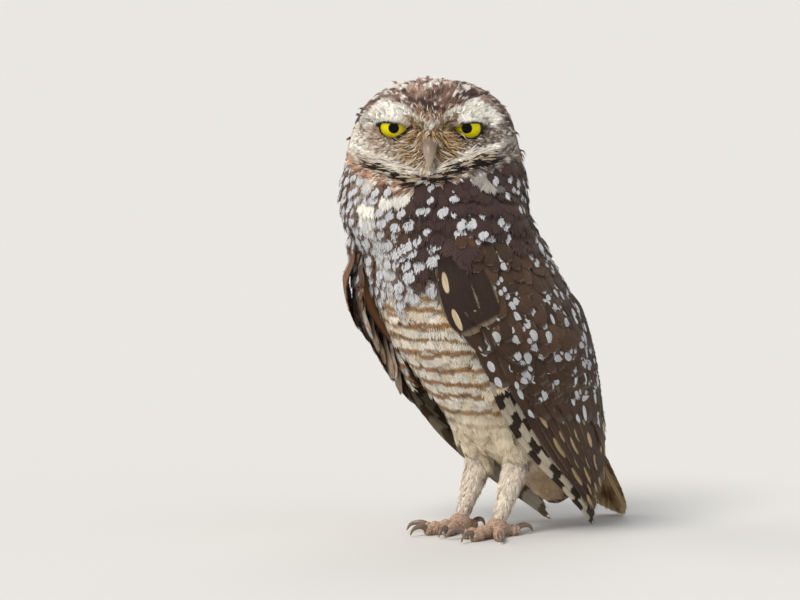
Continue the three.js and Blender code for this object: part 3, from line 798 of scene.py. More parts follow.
lids = []
outward = unit(lid_line - LID_MIDDLE)
for word, side in SIDES.items():
    centre = eye_centre(side)
    ball_x, ball_z, ball_y = ball_rings(EYE_RINGS, EYE_TURNS)
    eye_points, eye_faces = closed_rings(centre + EYE_RADIUS * np.stack([ball_x, -ball_y, ball_z], -1))
    eye = new_piece(f"eyeball_{word}", to_body(eye_points), eye_faces)
    gaze = eye_points - centre
    gaze[:, [0, 2]] -= PUPIL_OFF
    gaze = np.column_stack([gaze[:, 0], gaze[:, 2], gaze[:, 1]])
    gaze[gaze[:, 2] > 0, :2] = 9
    attribute(eye, "gaze", gaze)
    fasten(eye, eye_material, "eye", f"eye_{word}")

    lid_rings, tints = [], []
    for step, radius in LID_SECTION:
        x, z = (lid_line + outward * step).T
        x, z = x * side + PUPIL_OFF[0], z + PUPIL_OFF[1]
        y = -np.sqrt(np.maximum(radius**2 - x**2 - z**2, 0.3))
        lid_rings.append(to_body(centre + np.stack([x, y, z], -1)))
        tints.append(blend(LID_RIM, face_marks(lid_rings[-1])[0] * 0.8, ease(step, 0.9, 2.0)))
    grid = np.array(lid_rings)
    rows, columns, _ = grid.shape
    index = np.arange(rows * columns).reshape(rows, columns)
    a, b = index[:-1].ravel(), np.roll(index, -1, axis=1)[:-1].ravel()
    faces = np.vstack([np.column_stack([a, b, b + columns]), np.column_stack([a, b + columns, a + columns])])
    faces = faces if side > 0 else faces[:, ::-1]
    lid = new_piece(f"lid_{word}", grid.reshape(-1, 3), faces)
    dress(lid, np.vstack(tints), SPOT_WHITE)
    fasten(lid, lid_material, "head_plumage")
    lids.append((grid.reshape(-1, 3), faces))

# The wing beds: the folded arms under the wing feathers. Each is a curved plate that runs
# from the shoulder to the wrist and carries the rows of coverts.
# Heights, then the plumage's middle line's Y, half width and half depth.
PLUMAGE = [
    (0, 62, 18, 20), (10, 56, 22, 26), (24, 45.5, 29, 33.5), (39, 33.7, 36, 41), (64, 16.2, 46, 47.4),
    (89, 3.3, 52, 50), (113.5, -11.1, 54, 52), (138, -20.9, 50, 46), (160, -31.3, 46, 41),
]
# Heights, then the turns of the wing's front and back edges.
WING_EDGES = [
    (1, 6, 34), (10, -8, 40), (20, -22, 47), (38, -36, 57), (58, -44, 64), (78, -48, 76),
    (98, -50, 78), (118, -52, 74), (134, -52, 66), (150, -40, 50),
]
plumage_at = stations(PLUMAGE)
wing_edges_at = stations(WING_EDGES)


def wing_point(side, turn, height, lift):
    """A point by the folded wing's outer face. turn is in degrees, 0 at the side, more behind."""
    middle, half, deep = plumage_at(height)
    turn = np.radians(turn)
    x = side * (half + lift) * np.cos(turn)
    return np.stack(np.broadcast_arrays(x, middle + (deep + lift) * np.sin(turn), height), -1)


def plate_faces(rows, columns):
    """Triangles of a sheet of points, rows by columns."""
    a = (np.arange(rows - 1)[:, None] * columns + np.arange(columns - 1)[None]).ravel()
    c = a + columns + 1
    return np.vstack([np.column_stack([a, a + 1, c]), np.column_stack([a, c, a + columns])])


BED_TOP, BED_LOW = 154.0, 70.0
BED_ROWS, BED_COLUMNS = 40, 36
BED_BACK = -11.0
# Above this height the wing's edges keep their turns.
EDGE_TOP = 150
# The bed's points round its border: along the top, down the back edge, and home again.
last_row, last_column = BED_ROWS - 1, BED_COLUMNS - 1
edge = np.concatenate([
    np.arange(last_column),
    np.arange(last_row) * BED_COLUMNS + last_column,
    last_row * BED_COLUMNS + np.arange(last_column, 0, -1),
    np.arange(last_row, 0, -1) * BED_COLUMNS,
])
step = np.roll(edge, -1)
bed_points = BED_ROWS * BED_COLUMNS
wall = np.vstack([
    np.column_stack([step, edge, edge + bed_points]),
    np.column_stack([step, edge + bed_points, step + bed_points]),
])
sheet = plate_faces(BED_ROWS, BED_COLUMNS)[:, ::-1]
beds = []
for word, side in SIDES.items():
    height = np.linspace(BED_TOP, BED_LOW, BED_ROWS)[:, None]
    share = np.linspace(0, 1, BED_COLUMNS)[None]
    front, back = wing_edges_at(np.minimum(height, EDGE_TOP))
    turn = mix(front, back, share)
    border = ease(np.minimum(share, 1 - share), 0, 0.16) * ease(BED_TOP - height, 0, 14)
    lift = mix(-6.5, -2.6, border) - 3.5 * ease(112 - height, 0, 30)
    grid = wing_point(side, turn, height, lift)
    inner = wing_point(side, turn, height, BED_BACK)
    faces = np.vstack([sheet, sheet[:, ::-1] + bed_points, wall[:, ::-1]])[:, ::side]
    bed = new_piece(f"wing_bed_{word}", np.vstack([grid.reshape(-1, 3), inner.reshape(-1, 3)]), faces)
    # The far bed takes the wrist's rufous brown, which is painted warm light on the far wing.
    dress(bed, WING_BROWN * 0.6 if side > 0 else WRIST_BROWN_AND_PAINTED_LIGHT * 0.7, SPOT_WHITE)
    fasten(bed, TUFT, "wing_plumage", f"wing_{word}")
    beds.append((grid.reshape(-1, 3), sheet[:, ::side]))

# How a feather is laid. Its shaft starts at a root in the skin and is bent to follow the
# body, rising a little towards its tip, so that each one lies over the next like a tile.
ground_points, ground_faces = joined([(skin_points, skin_faces), *beds])
body_tree = BVHTree.FromPolygons(ground_points.tolist(), ground_faces.tolist())
SHAFT_STEPS = 4
SHAFT_RISE = np.array([-0.15, 0.45, 0.8, 1.0, 1.1])


def lay(roots, ways, lengths, rises, tree=body_tree, bends=None):
    """Shaft points and outward normals of feathers that follow the body, some in a curve."""
    shafts = np.empty((len(roots), SHAFT_STEPS + 1, 3))
    normals = np.empty_like(shafts)
    bends = np.zeros(len(roots)) if bends is None else bends
    for i, (root, way, length, rise, bend) in enumerate(zip(roots, ways, lengths, rises, bends)):
        point, way = Vector(root), Vector(way)
        for k in range(SHAFT_STEPS + 1):
            place, normal, _, _ = tree.find_nearest(point)
            shafts[i, k] = place + normal * (rise * SHAFT_RISE[k])
            normals[i, k] = normal
            way = (way - normal * way.dot(normal)).normalized()
            way = way + normal.cross(way) * bend
            point = place + way * (length / SHAFT_STEPS)
    normals[:, 1:-1] = unit(normals[:, :-2] + normals[:, 1:-1] + normals[:, 2:])
    return shafts, normals


class Template:
    """One feather's outline: places across and along it, their lift and play, and triangles."""

    def __init__(self):
        self.places = []
        self.faces = []

    def sheet(self, alongs, halves, columns, loose=0.0):
        start = len(self.places)
        for a, half in zip(alongs, halves):
            play = loose if a > 0.7 else 0.0
            self.places += [(half * c, a, 0.0, play) for c in np.linspace(-1, 1, columns)]
        self.faces += (plate_faces(len(alongs), columns) + start).tolist()

    def barb(self, root, mid, tip, half, lift=0.0):
        """A pointed lock of barbs through three (across, along) places."""
        start = len(self.places)
        way = np.subtract(tip, root)
        side = np.array([way[1], -way[0]]) / np.hypot(*way)
        for place, width, loose in ((root, half, 0.0), (mid, half * 0.8, 0.5)):
            for sign in (-1, 1):
                x, a = np.add(place, side * sign * width * np.array([1, 0.5]))
                self.places.append((x, a, lift * loose * 2, loose))
        self.places.append((*tip, lift, 1.0))
        corners = [(0, 1, 3), (0, 3, 2), (2, 3, 4)]
        self.faces += [[start + c for c in corner] for corner in corners]


# Stray barbs end within this share of their feather's length, and none below this height.
LONGEST = 1.12
LOWEST = 0.1


def feather_piece(
    name, shafts, normals, halves, template, looks, material, slot, stray=0.06, cup=0.25, phase=None
):
    """One mesh of many feathers. looks gives each feather's colours, style and rows."""
    rng = np.random.default_rng(len(name) * 7 + len(shafts))
    count, knots = shafts.shape[:2]
    places = np.array(template.places)
    across, along, lift, loose = places.T
    spread = rng.normal(0, stray, (count, len(places), 2)) * loose[None, :, None]
    x = across[None] + spread[..., 0]
    a = np.clip(along[None] + spread[..., 1], 0, LONGEST)
    at = np.clip(a, 0, 0.9999) * (knots - 1)
    i = at.astype(int)
    f = (at - i)[..., None]
    who = np.arange(count)[:, None]
    tangents = unit(np.gradient(shafts, axis=1))
    points = mix(shafts[who, i], shafts[who, i + 1], f)
    normal = unit(mix(normals[who, i], normals[who, i + 1], f))
    ahead = unit(mix(tangents[who, i], tangents[who, i + 1], f))
    side = unit(np.cross(normal, ahead))
    length = np.linalg.norm(np.diff(shafts, axis=1), axis=2).sum(1)
    beyond = np.maximum(a - 1, 0) * length[:, None]
    half = np.asarray(halves, float)[:, None]
    up = (lift[None] + rng.normal(0, 0.05, x.shape) * loose - cup * x**2) * half
    points = points + side * (x * half)[..., None] + normal * up[..., None] + ahead * beyond[..., None]
    points[..., 2] = np.maximum(points[..., 2], LOWEST)
    faces = np.array(template.faces)[None] + (np.arange(count) * len(places))[:, None, None]
    piece = new_piece(name, points.reshape(-1, 3), faces.reshape(-1, 3))
    ground, mark, style, rows = (np.repeat(rows_of(look, count), len(places), axis=0) for look in looks)
    seeds = np.repeat(rng.uniform(0, 1, count), len(places))
    vane = np.column_stack([np.tile(across, count), a.ravel(), seeds])
    tone = np.repeat(rng.uniform(0.86, 1.12, count), len(places))[:, None]
    phase = seeds * 0.14 if phase is None else np.repeat(phase, len(places))
    dress(piece, ground * tone, mark, style, rows, vane, phase)
    bake_patches(piece, shafts[:, 0], x, a)
    fasten(piece, material, slot)
    return piece


PATCH = 0.003
MAP_EDGE = 0.03
MAP_TOP = 225


def bake_patches(piece, roots, x, a):
    """A small patch of the map for each feather, at its root's place on the body unrolled."""
    turn = np.arctan2(roots[:, 1] - mix(40, -30, ease(roots[:, 2], 20, 160)), roots[:, 0])
    u = mix(MAP_EDGE, 1 - MAP_EDGE, turn / (2 * np.pi) + 0.5)
    v = mix(MAP_EDGE, 1 - MAP_EDGE, np.clip(roots[:, 2] / MAP_TOP, 0, 1))
    layer = piece.data.uv_layers.new(name="OFBake")
    across = PATCH / 2 * np.clip(x, -1.2, 1.2) / 1.2
    spots = np.stack([u[:, None] + across, v[:, None] + PATCH * (a - 0.5)], -1)
    corner = np.empty(len(piece.data.loops), np.int32)
    piece.data.loops.foreach_get("vertex_index", corner)
    layer.data.foreach_set("uv", spots.reshape(-1, 2)[corner].ravel())


# Small body feathers. Each is a soft vane with a ragged end of loose barbs, set in
# staggered rows that run round the body.
body_feather = Template()
body_feather.sheet([0.02, 0.35, 0.66, 0.86], [0.3, 0.74, 0.84, 0.6], 4, 0.3)
for share in np.linspace(-0.94, 0.94, 11):
    body_feather.barb(
        (0.6 * share, 0.62 - 0.1 * share**2), (0.86 * share, 0.84 - 0.2 * share**2),
        (1.02 * share, 1.03 - 0.3 * share**2), 0.125, 0.05,
    )
for sign in (-1, 1):
    for low in (0.22, 0.4, 0.56):
        body_feather.barb((0.6 * sign, low), (0.86 * sign, low + 0.13), (1.1 * sign, low + 0.27), 0.1, -0.02)


RING_STEPS = 200


def ring_roots(place, heights, low, high, gap, rng):
    """Staggered roots on a body of rings between two turns: their points, ways down, and turns."""
    found = []
    for row, height in enumerate(heights):
        turns = np.linspace(low, high, RING_STEPS)
        line = place(turns, np.full(RING_STEPS, height))
        run = np.concatenate([[0], np.cumsum(np.linalg.norm(np.diff(line, axis=0), axis=1))])
        count = max(2, int(run[-1] / gap))
        at = (np.arange(count) + 0.5 * (row % 2) + rng.uniform(-0.16, 0.16, count)) / count * run[-1]
        turn = np.interp(at, run, turns)
        level = height + rng.uniform(-0.16, 0.16, count) * abs(heights[1] - heights[0])
        here = place(turn, level)
        below = place(turn, level - 1.0)
        found.append(np.column_stack([here, unit(below - here), turn]))
    found = np.vstack(found)
    return found[:, :3], found[:, 3:6], found[:, 6]


BODY_GAP, NECK_GAP = 5.8, 5.4
# Feathers whose roots lie further than this from the skin are left out.
BODY_SUNK, NECK_SUNK = 5.2, 3.6
BAR_APART = 7.2
rng = np.random.default_rng(11)
BODY_ROWS = np.concatenate([
    np.arange(174, 118, -5.4), np.arange(118, 60, -6.2), np.arange(60, 14, -4.0),
])
NECK_ROWS = np.arange(190, 146, -4.4)
body_rows = ring_roots(torso_point, BODY_ROWS, -math.pi, math.pi, BODY_GAP, rng)
neck_rows = ring_roots(head_point, NECK_ROWS, -math.pi, math.pi, NECK_GAP, rng)
roots, ways, _ = (np.concatenate(pair) for pair in zip(body_rows, neck_rows))
of_neck = np.arange(len(roots)) >= len(body_rows[0])
# Under the folded wings only a few are kept, at the borders, and none inside the body or the face.
side_turn = turn_of(roots)
turn_deg = np.degrees(np.where(roots[:, 0] < 0, np.pi - side_turn, side_turn))
turn_deg = (turn_deg + 180) % 360 - 180
front, back = wing_edges_at(np.clip(roots[:, 2], 1, EDGE_TOP))
under_wing = (turn_deg > front + 8) & (turn_deg < back - 6)
under_wing &= (roots[:, 2] < EDGE_TOP) & (roots[:, 2] > 64)
own = to_head(roots)
face_edge = np.where(own[:, 1] < 0, EYE_LEVEL + crease_rise(own[:, 0]) + 0.6, 176)
keep = ~under_wing & (roots[:, 2] < face_edge)
roots, ways, of_neck = roots[keep], ways[keep], of_neck[keep]
z = roots[:, 2]
long = mix(12, 17.5, ease(z, 60, 100)) * rng.uniform(0.9, 1.12, len(z))
long = long * mix(1, 1.75, bell((z - 50) / 9)) * mix(1, 0.72, ease(z, 150, 172))
wide = mix(4.3, 6.0, ease(z, 60, 90)) * rng.uniform(0.9, 1.12, len(z))
wide = wide * mix(1, 0.75, ease(z, 150, 172))
rises = mix(1.8, 2.3, ease(z, 40, 80)) + 2.4 * bell((z - 50) / 9)
rises = rises * rng.uniform(0.85, 1.3, len(z))
ways = unit(ways + rng.normal(0, 0.1, ways.shape))
shafts, normals = lay(roots, ways, long, rises)
buried = np.linalg.norm(shafts[:, 0] - roots, axis=1) > np.where(of_neck, NECK_SUNK, BODY_SUNK)
shafts, normals, wide = shafts[~buried], normals[~buried], wide[~buried]
tips = shafts[:, 3]
ground, mark, bars, spots = body_marks(tips, turn_of(tips))
spots = spots * rng.uniform(0.55, 1.15, len(tips))
spotted_share = mix(1, 0.36, ease(np.cos(turn_of(tips)), 0.05, 0.3))
spots = np.where(rng.uniform(size=len(tips)) < spotted_share, spots, NO_SPOTS)
style = np.column_stack([bars * 0.9, spots, np.clip(spots, 0, 1) * 0.1])
drop = shafts[:, 0, 2] - shafts[:, -1, 2]
rows = np.column_stack([drop / BAR_APART, np.full(len(tips), 2.0), np.zeros(len(tips))])
phase = (200 - shafts[:, 0, 2]) / BAR_APART + 0.2 * waver(tips, 26, 9) + 0.08 * waver(tips, 9, 10)
in_front = turn_of(tips) < 0
for word, part in (("front", in_front), ("back", ~in_front)):
    feather_piece(
        f"body_feathers_{word}", shafts[part], normals[part], wide[part], body_feather,
        (ground[part], mark[part], style[part], rows[part]), SOFT_FEATHER, "breast_plumage",
        stray=0.035, phase=phase[part],
    )

# The wing's small coverts and the scapulars, which cover the folded arm and lie over the
# back. They are dark brown, and about half of them have a round white spot near the tip.


def wing_rows(side, heights, low_share, high_share, gap, rng):
    def place(share, height):
        front, back = wing_edges_at(np.minimum(height, EDGE_TOP))
        return wing_point(side, mix(front, back, share), height, -2.0)

    return ring_roots(place, heights, low_share, high_share, gap, rng)


COVERT_ROWS = np.arange(152, 82, -4.8)
COVERT_SPAN = (-0.03, 1.06)
COVERT_GAP = 5.3
covert = Template()
covert.sheet([0.02, 0.3, 0.6, 0.78, 0.9, 0.97], [0.35, 0.82, 1.0, 0.86, 0.6, 0.3], 5, 0.1)
for share in np.linspace(-0.9, 0.9, 11):
    covert.barb(
        (0.7 * share, 0.82 - 0.16 * share**2), (0.84 * share, 0.9 - 0.2 * share**2),
        (0.93 * share, 1.02 - 0.26 * share**2), 0.12, 0.02,
    )
for word, side in SIDES.items():
    rng = np.random.default_rng(21 + side)
    roots, ways, shares = wing_rows(side, COVERT_ROWS, *COVERT_SPAN, COVERT_GAP, rng)
    keep = shares > 0.14 * ease(116 - roots[:, 2], 0, 14) * (side > 0)
    roots, ways, shares = roots[keep], ways[keep], shares[keep]
    low = ease(152 - roots[:, 2], 0, 60)
    long = mix(12, 21, low) * rng.uniform(0.9, 1.12, len(roots))
    wide = mix(3.8, 5.2, low) * rng.uniform(0.85, 1.15, len(roots))
    ways = unit(ways + rng.normal(0, 0.09, ways.shape))
    lifts = 4.8 * ease(132 - roots[:, 2], 0, 28)
    shafts, normals = lay(roots, ways, long, rng.uniform(1.6, 2.5, len(roots)) + lifts)
    spotted = rng.uniform(size=len(roots)) < mix(0.4, 0.5, low)
    size = np.where(spotted, rng.uniform(0.5, 1.1, len(roots)), -2.5)
    style = np.column_stack([np.zeros(len(roots)), size, np.full(len(roots), 0.12)])
    rows = np.tile((2.0, 0.0, 0.0), (len(roots), 1))
    rows[:, 1] = rng.uniform(2.4, 2.9, len(roots))
    # Painted warm light: the far wing's coverts turn tan towards its front edge and rufous near the wrist,
    # with a faint trace on the near wing's front edge.
    painted_light_share = 0.1 * (1 - ease(shares, 0, 0.16)) if side > 0 else 1 - ease(shares, 0.02, 0.3)
    painted_light_at = blend(FAR_WING_PAINTED_LIGHT, WRIST_BROWN_AND_PAINTED_LIGHT, ease(roots[:, 2], 118, 134))
    ground = blend(WING_BROWN, painted_light_at, painted_light_share) * rng.uniform(0.7, 1.4, (len(roots), 1))
    feather_piece(
        f"wing_coverts_{word}", shafts, normals, wide, covert,
        (ground, SPOT_WHITE * 0.78, style, rows), COVERT_FEATHER, "wing_plumage", stray=0.03,
    )

# The flight feathers and large coverts of the folded wings: firm vanes on a stiff shaft, in
# tiers that run back to the wing's tip. Each tier's first and last feather are given by
# their root and tip, as height, turn and lift from the wing's outer face.
vane_feather = Template()
VANE_ALONG = np.concatenate([np.linspace(0, 0.8, 15), np.linspace(0.84, 1.0, 8)])
vane_half = np.where(
    VANE_ALONG < 0.55,
    mix(0.6, 1.0, VANE_ALONG / 0.55),
    np.sqrt(np.clip(1 - ((VANE_ALONG - 0.55) / 0.455) ** 2.4, 0, 1)),
)
vane_feather.sheet(VANE_ALONG, np.maximum(vane_half, 0.05), 9)
for low in np.linspace(0.3, 0.97, 26):
    start, middle, end = np.interp([low, low + 0.025, low + 0.05], VANE_ALONG, vane_half)
    for sign in (-1, 1):
        vane_feather.barb(
            (sign * 0.85 * start, low), (sign * 0.97 * middle, low + 0.03),
            (sign * (end + 0.05), low + 0.062), 0.022,
        )

# For each tier: its count, half width, tilt and bends, then its first and last roots and tips.
WING_TIERS = {
    "primaries": (
        12, 4.6, 0.2, (2.4, 1.4), ((88, -44, -7.5), (96, 8, -7)), ((2.4, 12, -3.4), (27, 44, -2.6)),
    ),
    "secondaries": (
        14, 5.6, 0.18, (2.2, 1.3), ((98, -31, -5.5), (112, 50, -4.5)), ((9, 11.5, -1.9), (32, 52, -0.6)),
    ),
    "tertials": (
        6, 7.6, 0.15, (1.3, 1.2), ((114, 30, -4), (120, 64, -3.5)), ((40, 34, 0.2), (58, 66, 1.0)),
    ),
    "lower_coverts": (
        11, 6.6, 0.12, (1.3, 1.15), ((100, -34, -3.5), (108, 60, -3)), ((60, -24, -0.6), (50, 56, 1.0)),
    ),
    "greater_coverts": (
        10, 7.2, 0.12, (1.15, 1.15), ((108, -43, -3), (116, 58, -3)), ((76, -38, 0.4), (68, 52, 0.8)),
    ),
    "median_coverts": (
        11, 6.6, 0.1, (1.15, 1.15), ((118, -46, -2.6), (124, 62, -2.6)), ((93, -42, 1.0), (88, 58, 1.2)),
    ),
    "alula": (
        2, 8.6, 0.06, (1.15, 1.15), ((138, -48, -3.4), (136, -38, -3.6)), ((101, -47, 2.2), (107, -35, 1.5)),
    ),
}
# For each tier: ground, mark, then bars, spots and rim, then rows of bars and of spots and streak.
TIER_LOOKS = {
    "primaries": (paint("#38271c"), paint("#e0d4bd"), (0.97, NO_SPOTS, 0.05), (6.4, 1.0, 0.0)),
    "secondaries": (paint("#4b382b"), paint("#bfa67c"), (0.0, 0.3, 0.2), (6.0, 6.0, 0.0)),
    "tertials": (paint("#49362c"), paint("#c3b59c"), (0.0, 0.25, 0.1), (4.0, 5.0, 0.0)),
    "lower_coverts": (WING_BROWN, SPOT_WHITE, (0.0, 0.35, 0.06), (2.0, 4.2, 0.0)),
    "greater_coverts": (WING_BROWN, SPOT_WHITE, (0.0, 0.5, 0.08), (2.0, 3.6, 0.0)),
    "median_coverts": (WING_BROWN, SPOT_WHITE, (0.0, 0.5, 0.08), (2.0, 3.0, 0.0)),
    "alula": (paint("#35251e"), paint("#d9c3a2"), (0.0, -0.03, 0.3), (2.0, 2.1, 0.0)),
}
VANE_KNOTS = 13


def wing_shaft(side, root, tip, tilt, bend):
    """A flight feather's shaft points and normals, tilted so that its front edge is raised."""
    along = np.linspace(0, 1, VANE_KNOTS)
    height = mix(root[0], tip[0], along)
    turn = mix(root[1], tip[1], along**bend)
    lift = mix(root[2], tip[2], ease(along, 0, 0.45))
    line = wing_point(side, turn, height, lift)
    outer = wing_point(side, turn, height, lift + 1.0)
    ahead = unit(np.gradient(line, axis=0))
    normal = outer - line
    normal = unit(normal - ahead * (normal * ahead).sum(1)[:, None])
    behind = np.cross(ahead, normal) * side
    return line, unit(normal + tilt * behind)


TIP_PLAY = (1.2, 0.9, 0.12)


def tier_shafts(side, count, tilt, bends, roots, tips, rng):
    roots, tips = np.array(roots, float), np.array(tips, float)
    lines = []
    for share in np.linspace(0, 1, count):
        tip = mix(*tips, share) + rng.uniform(-1, 1, 3) * TIP_PLAY
        lines.append(wing_shaft(side, mix(*roots, share), tip, tilt, mix(*bends, share)))
    return np.array(lines).swapaxes(0, 1)


for word, side in SIDES.items():
    rng = np.random.default_rng(31 + side)
    for tier, (count, half, tilt, bends, tier_roots, tier_tips) in WING_TIERS.items():
        shafts, normals = tier_shafts(side, count, tilt, bends, tier_roots, tier_tips, rng)
        ground, mark, style, rows = TIER_LOOKS[tier]
        style = np.tile(style, (count, 1))
        style[:, 1] *= rng.uniform(0.5, 1.3, count)
        rows = np.tile(rows, (count, 1))
        rows[:, 1] *= rng.uniform(0.85, 1.15, count)
        # Painted warm light: the far wing's tiers turn tan towards their front, the primaries all over, and
        # the alula rufous.
        if side < 0:
            whole_tier = tier == "primaries"
            front = 1.0 if whole_tier else 1 - ease(np.linspace(0, 1, count), 0, 0.3)
            ground = blend(ground, WRIST_BROWN_AND_PAINTED_LIGHT if tier == "alula" else FAR_WING_PAINTED_LIGHT, 0.75 * front)
        feather_piece(
            f"wing_{tier}_{word}", shafts, normals, np.full(count, half), vane_feather,
            (ground, mark, style, rows), VANE_FEATHER if tier == "primaries" else COVERT_VANE,
            "wing_plumage", stray=0.012, cup=0.08, phase=rng.uniform(0, 0.8, count),
        )

# The tail: twelve long feathers that fold into one stack, the middle pair outermost, brown
# with paler bars and edges. Its tip rests on the ground.
TAIL_LINE = [(0, 61, 70), (0, 71, 53), (0, 82, 34), (0, 93, 15.5), (0, 102, 0.4)]
TAIL_VANES = 12
TAIL_SPREAD = 11.8
TAIL_LAYER = 0.92
TAIL_HALF = 5.4
tail_line = smooth_line(TAIL_LINE)
shafts, normals = [], []
middle = (TAIL_VANES - 1) / 2
for index in range(TAIL_VANES):
    place = index - middle
    rank = int(abs(place))
    along = np.linspace(0, 1, VANE_KNOTS) * (1 - 0.028 * rank)
    line = tail_line(along)
    ahead = unit(np.gradient(line, axis=0))
    out = np.column_stack([np.zeros(VANE_KNOTS), -ahead[:, 2], ahead[:, 1]])
    layer = mix(0.3, 1, ease(along, 0, 0.4)) * (TAIL_LAYER * rank + (0.46 if place > 0 else 0))
    line = line - out * layer[:, None]
    line[:, 0] = place / middle * TAIL_SPREAD * mix(0.3, 1, along)
    shafts.append(line)
    normals.append(out)
TAIL_LOOKS = (paint("#835a30"), paint("#e0c898"), (0.3, NO_SPOTS, 0.35), (5.5, 1, 0.85))
tail = feather_piece(
    "tail_feathers", np.array(shafts), np.array(normals), np.full(TAIL_VANES, TAIL_HALF), vane_feather,
    TAIL_LOOKS, VANE_FEATHER, "tail_plumage", stray=0.012, cup=0.06,
)
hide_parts("tail")

# The head's plumage: short tufts that grow smallest and densest round the bill and the
# eyes, radiate from the bill over the face, and run back over the crown and down the nape.
face_tuft = Template()
for share in (-0.8, -0.3, 0.25, 0.75):
    face_tuft.barb((0.3 * share, 0.0), (0.75 * share, 0.55), (1.05 * share, 1.0), 0.24, 0.0)
face_tuft.barb((0.0, 0.05), (0.0, 0.6), (0.05, 1.06), 0.26, 0.1)


def scatter(points, faces, weights, count, rng):
    """Random places on triangles, by area times weight."""
    a, b, c = (points[faces[:, k]] for k in range(3))
    area = np.linalg.norm(np.cross(b - a, c - a), axis=1) * weights
    chosen = rng.choice(len(faces), count, p=area / area.sum())
    u, v = rng.uniform(size=(2, count, 1))
    flip = (u + v) > 1
    u, v = np.where(flip, 1 - u, u), np.where(flip, 1 - v, v)
    return a[chosen] + u * (b - a)[chosen] + v * (c - a)[chosen]


HEAD_TUFTS = 19000
NAPE_LOW = 172
LID_REACH = 8.6
rng = np.random.default_rng(41)
head_points, head_faces = joined([(skin_points, skin_faces), *lids])
head_tree = BVHTree.FromPolygons(head_points.tolist(), head_faces.tolist())
centres = head_points[head_faces].mean(1)
of_lid = np.arange(len(head_faces)) >= len(skin_faces)
own = to_head(centres)
gap, _ = lid_gap(centres)
eye_apart = np.minimum(*(np.linalg.norm(own - eye_centre(side), axis=1) for side in SIDES.values()))
under_lid = ~of_lid & (eye_apart < LID_REACH)
# Ahead of this depth a place is on the face, where the eyes' openings stay bare.
BY_EYES = -8
by_eyes = own[:, 1] < BY_EYES
face_low = np.where(own[:, 1] < 0, EYE_LEVEL + crease_rise(own[:, 0]) - 3.0, NAPE_LOW)
density = ease(centres[:, 2] - face_low, -1.5, 1.5) * (1 + 2.2 * ease(-own[:, 1], 12, 24))
density = density * mix(1.0, 3.2, of_lid & (gap > 1.2) & (gap < 6.5)) * ~under_lid
density = density * ((gap > 1.3) | (own[:, 1] > BY_EYES)) * (1 + 1.2 * bell((gap - 2) / 3) * by_eyes)
BILL_BASE = np.array([0.0, -22.0, EYE_LEVEL - 6])
roots = scatter(head_points, head_faces, density, HEAD_TUFTS, rng)
own = to_head(roots)
# They radiate from the bill over the face, and hang down elsewhere.
radial = unit(own - BILL_BASE)
frontal = ease(-own[:, 1], -8, 14)
zeros = np.zeros(len(roots))
by_eyes = own[:, 1] < BY_EYES
way = radial * frontal[:, None] + np.array([0, 0.25, -1.0]) * (1 - frontal)[:, None]
way = unit(way + np.array([0, 0.35, 0]))
# They turn away from the eyes' openings.
gap, from_eye = lid_gap(roots)
shy = (1.1 * bell(np.maximum(gap, 0) / 4) * by_eyes)[:, None]
way = unit(way * (1 - 0.5 * shy) + np.column_stack([from_eye[:, 0], zeros, from_eye[:, 1]]) * shy)
# They lie along the crease at the face's lower edge.
ridge = own[:, 2] - EYE_LEVEL - crease_rise(own[:, 0])
edgeward = (bell((ridge - 1.5) / 3.6) * (own[:, 1] < -5))[:, None]
slope = crease_rise(own[:, 0] + 1) - crease_rise(own[:, 0] - 1)
along_edge = unit(np.column_stack([zeros + 2.0, zeros, slope])) * np.sign(own[:, :1])
way = unit(way * (1 - edgeward) + along_edge * edgeward)
ways = unit(way_to_body(way) + rng.normal(0, 0.12, way.shape))
# They are short and flat by the bill and the eyes, and stand off a little over the eyes.
apart = np.linalg.norm(own - BILL_BASE, axis=1)
long = mix(3.0, 6.6, ease(np.minimum(apart, gap + 6), 6, 30))
long = long * rng.uniform(0.8, 1.25, len(roots))
wide = long * 0.14 + 0.24
rises = mix(0.8, 2.0, ease(np.minimum(apart, gap + 8), 8, 34))
rises = rises * rng.uniform(0.8, 1.3, len(roots))
over_eye = bell((gap - 3.6) / 2.6) * by_eyes * (own[:, 2] > EYE_LEVEL) * (from_eye[:, 1] > 0.2)
rises = rises + 1.2 * over_eye
on_chin = (own[:, 2] < EYE_LEVEL - 9) & (own[:, 1] < -20)
rises = rises * (1 - 0.85 * bell(own[:, 0] / 6) * on_chin)
long = long + 1.4 * over_eye
rises = rises + (rng.uniform(size=len(roots)) < 0.012) * rng.uniform(0.8, 2.2, len(roots))
shafts, normals = lay(roots, ways, long, rises, head_tree)
ground, varied, crown = face_marks(shafts[:, 2])

# The crown is blotched: each small patch of it takes one of four colours. On the head's left side, away from
# the key lamp, the dark ones come more often as painted shade.
CROWN_PATCHES = 1700
seeds = scatter(head_points, head_faces, density, CROWN_PATCHES, rng)
patches = KDTree(len(seeds))
for i, seed in enumerate(seeds):
    patches.insert(seed, i)
patches.balance()
nearest = np.array([patches.find(tip)[1] for tip in shafts[:, 3]])
BLOTCHES = np.array([paint(text) for text in ("#3a2924", "#7b6054", "#a98c7c", "#e8ded2")])
BLOTCH_STEPS = [0.27, 0.68, 0.87]
seed_own = to_head(seeds)
brow_gap = bell(seed_own[:, 0] / 9) * ease(-seed_own[:, 1], 8, 20)
